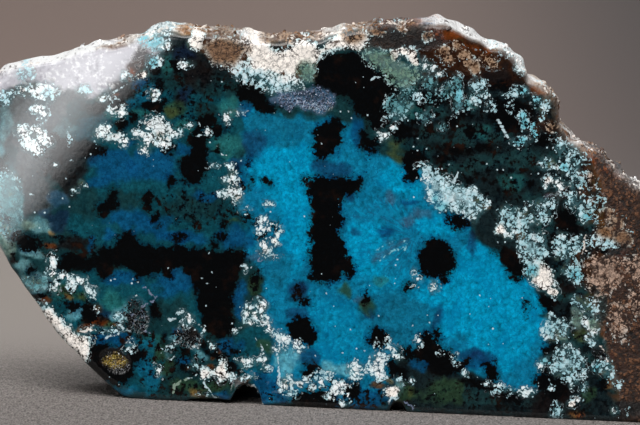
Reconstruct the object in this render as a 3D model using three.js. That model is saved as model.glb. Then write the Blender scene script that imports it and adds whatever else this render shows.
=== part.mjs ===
// Opalized petrified wood: one slab sawn across the grain of the trunk. The front is polished to a
// gentle dome that rolls away at the left, the foot is sawn flat so that the slab stands, the back
// is a plain saw cut, and the rim between them is the natural weathered rind.
// Millimetres, +Z up, +X along the foot, the polished face towards -Y.
// The origin is the middle of the underside of the bounding box.
import * as THREE from "three";
import { mergeVertices } from "three/addons/utils/BufferGeometryUtils.js";

// ---- driving dimensions ----
const FOOT_DEPTH = 15; // front to back, where it stands
const FACE_LEAN = THREE.MathUtils.degToRad(5); // the polished face leans back
const BACK_LEAN = THREE.MathUtils.degToRad(1.5); // the sawn back leans forward
const ROLL_LINE = [4.0, 19.0]; // past a line through here, in the outline's frame, the face rolls away
const ROLL_TOWARDS = THREE.MathUtils.degToRad(144.5); // up and to the left, square to that line
const ROLL_WIDTH = 13.4; // from the line to the far corner
const ROLL_DROP = 2.2; // how far that corner lies behind the flat of the face
const CROWN = 0.35; // the dome's fall from its middle to CROWN_REACH away
const CROWN_REACH = 30;
const CROWN_MIDDLE = new THREE.Vector2(26, 18);
const INSET_BLUR = 2.5; // the polished face's edge follows the rim's bumps only this loosely
const NOTCH_REACH = 7; // a chip at the foot stops shaping the stone this high above its own roof

// ---- mesh density ----
const GRID = 42; // along the foot, and along each of the other three runs of the rim
const ARC_ROWS = 2; // round the front edge, and round the back edge
const SIDE_ROWS = 3; // across the rim between the two
const DEPTH_ROWS = ARC_ROWS + SIDE_ROWS + ARC_ROWS;
const SPLINE_STEPS = 12; // steps between two outline points
const FACE_CENTRE = new THREE.Vector2(21, 17); // the grids of the face and the back close in on it

// ---- the outline ----
// It is drawn in its own frame, x to the right and y up, with the foot falling slightly to the right.
const FOOT_SLOPE = THREE.MathUtils.degToRad(2.7);
const FOOT_LEFT = [13.0, 2.7];
const FOOT_RIGHT = [69.4, 0.04];

// The right end, from the foot up: a broad round shoulder of brown wood, a step, and a hump of rind.
const RIGHT_SIDE = [
  FOOT_RIGHT, [70.4, 0.5], [71.6, 1.7], [72.8, 3.4], [73.5, 5.7], [73.8, 8.4], [73.5, 10.9],
  [72.8, 13.2], [71.7, 15.6], [70.3, 17.9], [68.8, 19.7], [67.2, 21.2], [65.6, 22.55],
  [64.0, 23.7], [62.4, 24.7], [61.0, 25.8], [59.8, 26.9], [58.5, 27.75], [57.5, 28.35],
  [56.9, 28.95], [56.45, 29.45], [55.95, 29.9], [55.7, 30.5], [55.65, 31.2], [55.7, 32.0],
  [55.2, 32.9], [54.4, 33.7], [53.6, 34.2], [52.9, 34.45], [52.5, 35.2],
];
// The top, from right to left: low swells of rind, a hollow, and the long slope to the left.
const TOP_SIDE = [
  [51.8, 36.05], [51.0, 36.8], [50.2, 37.4], [49.3, 37.65], [48.9, 37.75], [48.4, 38.2],
  [47.6, 38.6], [46.2, 39.2], [45.0, 39.65], [43.8, 40.05], [42.6, 40.1], [41.2, 40.0],
  [39.6, 39.8], [38.0, 39.65], [36.4, 39.5], [34.8, 39.4], [33.5, 39.2], [32.5, 38.85],
  [31.7, 38.45], [30.6, 38.4], [29.0, 38.45], [27.2, 38.45], [25.4, 38.6], [23.4, 38.85],
  [21.4, 39.05], [19.4, 39.25], [17.7, 39.4], [16.6, 39.35], [15.6, 39.15], [14.6, 38.75],
  [13.6, 38.4], [12.2, 38.1], [10.6, 37.7], [9.2, 37.3],
];
// The left end, round the tip and down the long straight bevel to the foot.
const LEFT_SIDE = [
  [7.8, 36.95], [6.2, 36.4], [4.8, 36.05], [3.4, 35.8], [1.8, 35.45], [0.2, 35.0],
  [-0.8, 34.1], [-1.5, 32.9], [-2.1, 31.1], [-2.4, 29.0], [-2.4, 26.8], [-2.1, 24.2],
  [-1.6, 21.8], [-0.9, 19.6], [0.0, 17.65], [1.1, 15.9], [2.2, 14.2], [3.3, 12.6],
  [4.5, 10.9], [5.9, 9.05], [7.3, 7.5], [8.8, 5.95], [10.3, 4.6], [11.5, 3.55],
  [12.2, 3.05], FOOT_LEFT,
];

// ---- what varies from side to side: the rounding of both edges, and the lumps of the rind ----
const SIDES = {
  foot: { front: 0.4, back: 0.5, lumps: 0 },
  right: { front: 1.6, back: 1.4, lumps: 0.4 },
  top: { front: 0.9, back: 1.2, lumps: 0.28 },
  left: { front: 0.6, back: 1.0, lumps: 0.1 },
};
const SIDE_BLUR = 3; // the values run into each other over this length of rim
const LUMPS_START = 5; // height at which the lumps reach their full size
// The lumps are ridges that run nearly with the grain: radians per millimetre round the rim and across it.
const LUMP_WAVES = [
  { share: 0.5, around: 0.82, across: 0.1, start: 1.3 },
  { share: 0.3, around: 1.9, across: -0.22, start: 4.0 },
  { share: 0.2, around: 3.1, across: 0.45, start: 2.0 },
];

// ---- hollows in the polished face: centre and half-sizes in the outline's frame, turn, depth ----
const HOLLOWS = [
  { at: [30.5, 32.5], half: [3.3, 1.1], turn: -14, depth: 0.35 }, // the long pocket lined with quartz
  { at: [11.5, 6.4], half: [1.7, 1.3], turn: -15, depth: 0.4 }, // the round pocket near the foot
  { at: [13.6, 11.0], half: [1.5, 2.1], turn: 10, depth: 0.28 }, // the frothy pocket
  { at: [18.7, 8.8], half: [1.6, 1.2], turn: -20, depth: 0.28 }, // and its neighbour
  { at: [59.9, 7.0], half: [1.0, 0.7], turn: -30, depth: 0.35 }, // a pit at the edge of the brown wood
];

// ---- chips out of the foot's front edge: middle and half-width along the foot, height, depth ----
const CHIPS = [
  { middle: 11.65, half: 1.5, high: 2.0, deep: 5.5 },
  { middle: 8.2, half: 2.6, high: 0.4, deep: 3.5 },
  { middle: 26.7, half: 0.8, high: 0.95, deep: 2.0 },
];

// A point of the outline's frame, with the foot turned level and its left end at zero.
function level([x, y]) {
  return new THREE.Vector2(x, y)
    .sub(new THREE.Vector2(...FOOT_LEFT))
    .rotateAround(new THREE.Vector2(), FOOT_SLOPE);
}

// Points at even steps along a polyline, both ends included.
function spaced(line, count) {
  const lengths = [0];
  for (let i = 1; i < line.length; i++) {
    lengths.push(lengths[i - 1] + line[i].distanceTo(line[i - 1]));
  }
  const points = [];
  let at = 1;
  for (let i = 0; i <= count; i++) {
    const wanted = (lengths[lengths.length - 1] * i) / count;
    while (at < line.length - 1 && lengths[at] < wanted) at++;
    const share = (wanted - lengths[at - 1]) / (lengths[at] - lengths[at - 1]);
    points.push(line[at - 1].clone().lerp(line[at], share));
  }
  return points;
}

// The rim as a loop of points: along the foot, up the right, back along the top and down the left.
function rimLoop() {
  const points = [...RIGHT_SIDE, ...TOP_SIDE, ...LEFT_SIDE].map(level);
  const curve = new THREE.SplineCurve(points);
  const line = curve.getPoints(SPLINE_STEPS * (points.length - 1));
  const topRight = SPLINE_STEPS * (RIGHT_SIDE.length - 1);
  const topLeft = SPLINE_STEPS * (RIGHT_SIDE.length + TOP_SIDE.length);
  const runs = [
    spaced([level(FOOT_LEFT), level(FOOT_RIGHT)], GRID),
    spaced(line.slice(0, topRight + 1), GRID),
    spaced(line.slice(topRight, topLeft + 1), GRID),
    spaced(line.slice(topLeft), GRID),
  ];
  return runs.flatMap((run) => run.slice(0, -1));
}

// The place in the loop of the rim point at column i and row j, which need not be whole numbers.
function loopPlace(i, j) {
  if (j === 0) return i;
  if (i === GRID) return GRID + j;
  if (j === GRID) return 3 * GRID - i;
  return 4 * GRID - j;
}

// A looped list averaged over a length of rim. Each entry is a list of numbers.
function blurred(entries, reach, step) {
  const half = Math.round(reach / step);
  return entries.map((entry, at) =>
    entry.map((_, part) => {
      let sum = 0;
      for (let k = -half; k <= half; k++) {
        sum += entries[(at + k + entries.length) % entries.length][part];
      }
      return sum / (2 * half + 1);
    }),
  );
}

// The rind's lumps at a length s round the rim and a depth y, from -1 to 1.
function lumps(s, y) {
  const wave = ({ share, around, across, start }) => share * Math.sin(around * s + across * y + start);
  return LUMP_WAVES.reduce((sum, each) => sum + wave(each), 0);
}

const smooth = (t) => t * t * (3 - 2 * t);
const clamp = THREE.MathUtils.clamp;

// The depth of the hollows at a point of the face.
function hollowDepth(point) {
  let depth = 0;
  for (const hollow of HOLLOWS) {
    const turn = THREE.MathUtils.degToRad(hollow.turn);
    const away = point.clone().sub(level(hollow.at)).rotateAround(new THREE.Vector2(), -turn);
    const q = Math.hypot(away.x / hollow.half[0], away.y / hollow.half[1]);
    if (q < 1) depth += hollow.depth * (1 - q * q) ** 2;
  }
  return depth;
}

function frontY(point) {
  const past = point.clone().sub(level(ROLL_LINE)).rotateAround(new THREE.Vector2(), -ROLL_TOWARDS).x;
  const roll = Math.max(0, past / ROLL_WIDTH);
  const crown = point.distanceToSquared(CROWN_MIDDLE) / CROWN_REACH ** 2;
  const plane = -FOOT_DEPTH / 2 + Math.tan(FACE_LEAN) * point.y;
  return plane + ROLL_DROP * roll * roll + CROWN * crown + hollowDepth(point);
}

function backY(point) {
  return FOOT_DEPTH / 2 - Math.tan(BACK_LEAN) * point.y;
}

// A point inside the loop: the grid's rings shrink evenly from the loop to FACE_CENTRE.
function inside(loop, i, j) {
  const half = GRID / 2;
  const ring = Math.max(Math.abs(i - half), Math.abs(j - half));
  if (ring === 0) return FACE_CENTRE.clone();
  const outwards = (k) => half + ((k - half) * half) / ring;
  const place = loopPlace(outwards(i), outwards(j));
  const before = Math.floor(place);
  const rimPoint = loop[before].clone().lerp(loop[(before + 1) % loop.length], place - before);
  return FACE_CENTRE.clone().lerp(rimPoint, ring / half);
}

// The rim with all that its cross-section needs: outward direction, roundings, lump size and length.
function makeRim() {
  const loop = rimLoop();
  const length = loop.reduce((sum, point, k) => sum + point.distanceTo(loop[(k + 1) % loop.length]), 0);
  const step = length / loop.length;
  const names = loop.map((_, k) => {
    if (k <= GRID) return "foot";
    if (k < 2 * GRID) return "right";
    return k <= 3 * GRID ? "top" : "left";
  });
  const values = names.map((name) => [SIDES[name].front, SIDES[name].back, SIDES[name].lumps]);
  const mixed = blurred(values, SIDE_BLUR, step);
  const soft = blurred(loop.map((point) => [point.x, point.y]), INSET_BLUR, step);
  const softLoop = soft.map(([x, y]) => new THREE.Vector2(x, y));
  const rim = loop.map((point, k) => {
    const before = softLoop[(k + softLoop.length - 1) % softLoop.length];
    const after = softLoop[(k + 1) % softLoop.length];
    const along = after.clone().sub(before).normalize();
    const out = new THREE.Vector2(along.y, -along.x);
    const [front, back, lump] = mixed[k];
    return { point, out, front, back, lump, s: k * step };
  });
  rim.forEach((entry, k) => {
    entry.frontInset = softLoop[k].clone().addScaledVector(entry.out, -entry.front);
    entry.backInset = softLoop[k].clone().addScaledVector(entry.out, -entry.back);
  });
  return rim;
}

// A point of the rim's cross-section: round the front edge, across, and round the back edge.
function rimPoint(entry, row) {
  const front = frontY(entry.frontInset);
  const back = backY(entry.backInset);
  const lastRow = DEPTH_ROWS - row;
  let inset = entry.point;
  let share = 0;
  let y;
  if (row <= ARC_ROWS) {
    const angle = (Math.PI / 2) * (row / ARC_ROWS);
    inset = entry.frontInset;
    share = 1 - Math.sin(angle);
    y = front + entry.front * (1 - Math.cos(angle));
  } else if (lastRow <= ARC_ROWS) {
    const angle = (Math.PI / 2) * (lastRow / ARC_ROWS);
    inset = entry.backInset;
    share = 1 - Math.sin(angle);
    y = back - entry.back * (1 - Math.cos(angle));
  } else {
    const across = (row - ARC_ROWS) / SIDE_ROWS;
    y = THREE.MathUtils.lerp(front + entry.front, back - entry.back, across);
  }
  const place = entry.point.clone().lerp(inset, share);
  const grown = smooth(clamp(place.y / LUMPS_START, 0, 1)) * (1 - share);
  place.addScaledVector(entry.out, entry.lump * grown * lumps(entry.s, y));
  return new THREE.Vector3(place.x, y, place.y);
}

// Lifts the stone over the chips in the foot's front edge, and leaves the rest of the foot at zero.
function chip(point) {
  let roof = 0;
  for (const { middle, half, high, deep } of CHIPS) {
    const across = Math.abs(point.x - middle) / half;
    const inwards = (point.y + FOOT_DEPTH / 2) / deep;
    if (across < 1 && inwards < 1) {
      roof = Math.max(roof, high * Math.sqrt(1 - across ** 2) * Math.sqrt(1 - Math.max(0, inwards) ** 2));
    }
  }
  const reach = clamp(1 - point.z / NOTCH_REACH, 0, 1);
  point.z += roof * reach ** 2;
}

// Splits each four-sided cell of the grid along the diagonal that leaves the more even triangles.
function splitEvenly(geometry) {
  const corners = geometry.index.array;
  const at = (corner) => new THREE.Vector3().fromBufferAttribute(geometry.attributes.position, corner);
  const area = (...triangle) => new THREE.Triangle(...triangle.map(at)).getArea();
  for (let start = 0; start < corners.length; start += 6) {
    const [a, b, d, , c] = corners.subarray(start, start + 6);
    const asBuilt = Math.min(area(a, b, d), area(b, c, d));
    const crossed = Math.min(area(a, b, c), area(a, c, d));
    if (crossed > asBuilt) corners.set([a, b, c, a, c, d], start);
  }
}

function makeStone() {
  const rim = makeRim();
  const frontLoop = rim.map((entry) => entry.frontInset);
  const backLoop = rim.map((entry) => entry.backInset);
  const box = new THREE.BoxGeometry(GRID, DEPTH_ROWS, GRID, GRID, DEPTH_ROWS, GRID);
  box.deleteAttribute("normal");
  box.deleteAttribute("uv");
  const stone = mergeVertices(box);
  const positions = stone.attributes.position;
  for (let v = 0; v < positions.count; v++) {
    const i = Math.round(positions.getX(v) + GRID / 2);
    const row = Math.round(positions.getY(v) + DEPTH_ROWS / 2);
    const j = Math.round(positions.getZ(v) + GRID / 2);
    let place;
    if (row === 0) {
      const point = inside(frontLoop, i, j);
      place = new THREE.Vector3(point.x, frontY(point), point.y);
    } else if (row === DEPTH_ROWS) {
      const point = inside(backLoop, i, j);
      place = new THREE.Vector3(point.x, backY(point), point.y);
    } else {
      place = rimPoint(rim[loopPlace(i, j)], row);
    }
    place.z = Math.max(0, place.z);
    chip(place);
    positions.setXYZ(v, place.x, place.y, place.z);
  }
  splitEvenly(stone);
  stone.computeBoundingBox();
  const middle = stone.boundingBox.getCenter(new THREE.Vector3());
  stone.translate(-middle.x, -middle.y, -stone.boundingBox.min.z);
  stone.computeVertexNormals();
  return stone;
}

const polishedOpal = new THREE.MeshStandardMaterial({ color: 0x1f7f9c, roughness: 0.12, metalness: 0 });

const stone = new THREE.Mesh(makeStone(), polishedOpal);
stone.name = "opalized_wood";

const part = new THREE.Group();
part.add(stone);

export default part;
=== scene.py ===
import math

import bmesh
import bpy
import numpy as np
from mathutils import Matrix, Vector
from mathutils.geometry import delaunay_2d_cdt


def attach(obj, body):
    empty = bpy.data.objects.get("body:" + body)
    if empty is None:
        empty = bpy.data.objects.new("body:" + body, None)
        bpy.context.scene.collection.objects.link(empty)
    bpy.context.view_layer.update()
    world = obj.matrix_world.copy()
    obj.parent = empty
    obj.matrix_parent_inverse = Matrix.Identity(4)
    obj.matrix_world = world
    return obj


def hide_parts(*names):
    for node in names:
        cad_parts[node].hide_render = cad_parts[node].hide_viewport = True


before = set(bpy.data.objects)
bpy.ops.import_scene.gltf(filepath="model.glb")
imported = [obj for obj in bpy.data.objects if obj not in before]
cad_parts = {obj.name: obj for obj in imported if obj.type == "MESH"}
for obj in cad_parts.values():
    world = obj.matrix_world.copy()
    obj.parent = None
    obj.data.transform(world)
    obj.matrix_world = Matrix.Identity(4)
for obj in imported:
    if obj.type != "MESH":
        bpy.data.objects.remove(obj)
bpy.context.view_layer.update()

# Opalized petrified wood: a slab sawn across the grain, its front polished, its rim left as rind.
# Millimetres until the mesh is made, +X along the foot, +Z up, the polished face towards -Y.

MM = 0.001

# ---- the solid's own dimensions ----
FOOT_DEPTH = 15
FACE_LEAN = math.radians(5)
BACK_LEAN = math.radians(1.5)
ROLL_LINE = (4.0, 19.0)
ROLL_TOWARDS = math.radians(144.5)
ROLL_WIDTH = 13.4
ROLL_DROP = 2.2
CROWN = 0.35
CROWN_REACH = 30
CROWN_MIDDLE = (26, 18)
INSET_BLUR = 2.5
NOTCH_REACH = 7
SPLINE_STEPS = 12
FOOT_SLOPE = math.radians(2.7)
FOOT_LEFT = (13.0, 2.7)
FOOT_RIGHT = (69.4, 0.04)
RIGHT_SIDE = [
    FOOT_RIGHT, (70.4, 0.5), (71.6, 1.7), (72.8, 3.4), (73.5, 5.7), (73.8, 8.4), (73.5, 10.9),
    (72.8, 13.2), (71.7, 15.6), (70.3, 17.9), (68.8, 19.7), (67.2, 21.2), (65.6, 22.55),
    (64.0, 23.7), (62.4, 24.7), (61.0, 25.8), (59.8, 26.9), (58.5, 27.75), (57.5, 28.35),
    (56.9, 28.95), (56.45, 29.45), (55.95, 29.9), (55.7, 30.5), (55.65, 31.2), (55.7, 32.0),
    (55.2, 32.9), (54.4, 33.7), (53.6, 34.2), (52.9, 34.45), (52.5, 35.2),
]
TOP_SIDE = [
    (51.8, 36.05), (51.0, 36.8), (50.2, 37.4), (49.3, 37.65), (48.9, 37.75), (48.4, 38.2),
    (47.6, 38.6), (46.2, 39.2), (45.0, 39.65), (43.8, 40.05), (42.6, 40.1), (41.2, 40.0),
    (39.6, 39.8), (38.0, 39.65), (36.4, 39.5), (34.8, 39.4), (33.5, 39.2), (32.5, 38.85),
    (31.7, 38.45), (30.6, 38.4), (29.0, 38.45), (27.2, 38.45), (25.4, 38.6), (23.4, 38.85),
    (21.4, 39.05), (19.4, 39.25), (17.7, 39.4), (16.6, 39.35), (15.6, 39.15), (14.6, 38.75),
    (13.6, 38.4), (12.2, 38.1), (10.6, 37.7), (9.2, 37.3),
]
LEFT_SIDE = [
    (7.8, 36.95), (6.2, 36.4), (4.8, 36.05), (3.4, 35.8), (1.8, 35.45), (0.2, 35.0),
    (-0.8, 34.1), (-1.5, 32.9), (-2.1, 31.1), (-2.4, 29.0), (-2.4, 26.8), (-2.1, 24.2),
    (-1.6, 21.8), (-0.9, 19.6), (0.0, 17.65), (1.1, 15.9), (2.2, 14.2), (3.3, 12.6),
    (4.5, 10.9), (5.9, 9.05), (7.3, 7.5), (8.8, 5.95), (10.3, 4.6), (11.5, 3.55),
    (12.2, 3.05), FOOT_LEFT,
]
# For each run of the rim: how far its front and its back edge are rounded, and the height of its lumps.
SIDES = {"foot": (0.4, 0.5, 0), "right": (1.6, 1.4, 0.4), "top": (0.9, 1.2, 0.28), "left": (0.6, 1.0, 0.1)}
SIDE_BLUR = 3
LUMPS_START = 5
# The lumps' waves: a share, radians per millimetre round the rim and across it, and where they start.
LUMP_WAVES = [(0.5, 0.82, 0.1, 1.3), (0.3, 1.9, -0.22, 4.0), (0.2, 3.1, 0.45, 2.0)]
# The face's hollows: x, y, half width, half height, turn in degrees, depth.
HOLLOWS = [
    (30.5, 32.5, 3.3, 1.1, -14, 0.35),
    (11.5, 6.4, 1.7, 1.3, -15, 0.4),
    (13.6, 11.0, 1.5, 2.1, 10, 0.28),
    (18.7, 8.8, 1.6, 1.2, -20, 0.28),
    (59.9, 7.0, 1.0, 0.7, -30, 0.35),
]
ROUND_HOLLOWS = HOLLOWS[1:]
# The chips in the foot's front edge: the middle, half width, height and depth of each.
CHIPS = [(11.65, 1.5, 2.0, 5.5), (8.2, 2.6, 0.4, 3.5), (26.7, 0.8, 0.95, 2.0)]

# ---- how fine the dressed mesh is ----
RIM_STEPS = 192  # along the foot, and along each of the other three runs of the rim
ARC_ROWS = 6  # over each rounded edge
SIDE_ROWS = 12  # from one rounded edge to the other
FACE_STEP = 0.2  # millimetres between neighbours on the polished face
BACK_STEP = 0.55  # and on the sawn back
NOISE_TABLE = (97, 89)  # random values before the noise repeats

# ---- what the weather and the saw left ----
RIND_PITS = 0.22  # how deep the rind is eaten, below the solid's own lumps
WOOD_PITS = 420  # open pores in the brown wood
WOOD_PIT_SIZE = (0.1, 0.34)
WOOD_PIT_DEPTH = 0.16

ALONG_GRAIN = (1, 0.12, 1)  # how the pattern is stretched where it runs on along the trunk

# ---- colours, out of 255 ----
COLOURS = {
    "black": (6, 7, 8), "soot": (30, 25, 25), "bark": (50, 29, 19), "brown": (104, 68, 44),
    "rust": (132, 62, 22), "amber": (178, 120, 58), "gold": (165, 148, 74), "tan": (160, 132, 108),
    "rose": (178, 150, 132), "cream": (240, 234, 227), "white": (238, 240, 241), "ice": (198, 224, 232),
    "aqua": (128, 198, 212), "sage": (138, 160, 144), "lichen": (100, 148, 154), "fog": (76, 82, 84),
    "lilac": (120, 132, 158), "shale": (60, 76, 98), "slate": (62, 98, 126), "sky": (4, 158, 203),
    "azure": (14, 126, 164), "sea": (18, 112, 144), "deep": (12, 84, 130), "navy": (24, 40, 76),
    "teal": (16, 82, 96), "pine": (24, 60, 64), "moss": (52, 80, 54), "olive": (78, 86, 48),
    "umber": (25, 39, 42), "jade": (44, 120, 118), "night": (10, 16, 20), "milk": (196, 195, 204),
    "spruce": (34, 68, 70), "frost": (180, 214, 222), "hazel": (128, 96, 70), "fern": (112, 140, 124),
    # The last colour on the next line is painted shade, for the table far behind the slab and to the right.
    "stone": (130, 124, 121), "paper": (140, 133, 127), "wall": (132, 113, 105), "dusk": (46, 36, 37),
    # The first colour on the next line is painted on as glints: on the crystals and in the quartz pocket.
    "quartz": (210, 218, 232), "honey": (176, 140, 82),
}
GROUND = "pine"  # under all the other coats

# Everything below is laid out on a drawing of the face in tenths of a millimetre, x to the right and
# y down from DRAWING_TOP. A patch is an oval (x, y, half width, half height, turn in degrees), or an
# outline as a list of points.
DRAWING_TOP = 42.5  # millimetres above the foot's lowest point

# Two outlines that more than one table names.
BROWN_OVAL = [(203, 50), (208, 43), (220, 37), (230, 40), (240, 44), (248, 50), (243, 58), (236, 66),
    (222, 67), (212, 64), (206, 56)]
BARK_LUMP = [(367, 30), (380, 24), (395, 20), (410, 17), (416, 25), (426, 30), (441, 33), (446, 45),
    (430, 51), (410, 51), (395, 53), (380, 49), (370, 48), (366, 40)]

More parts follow.
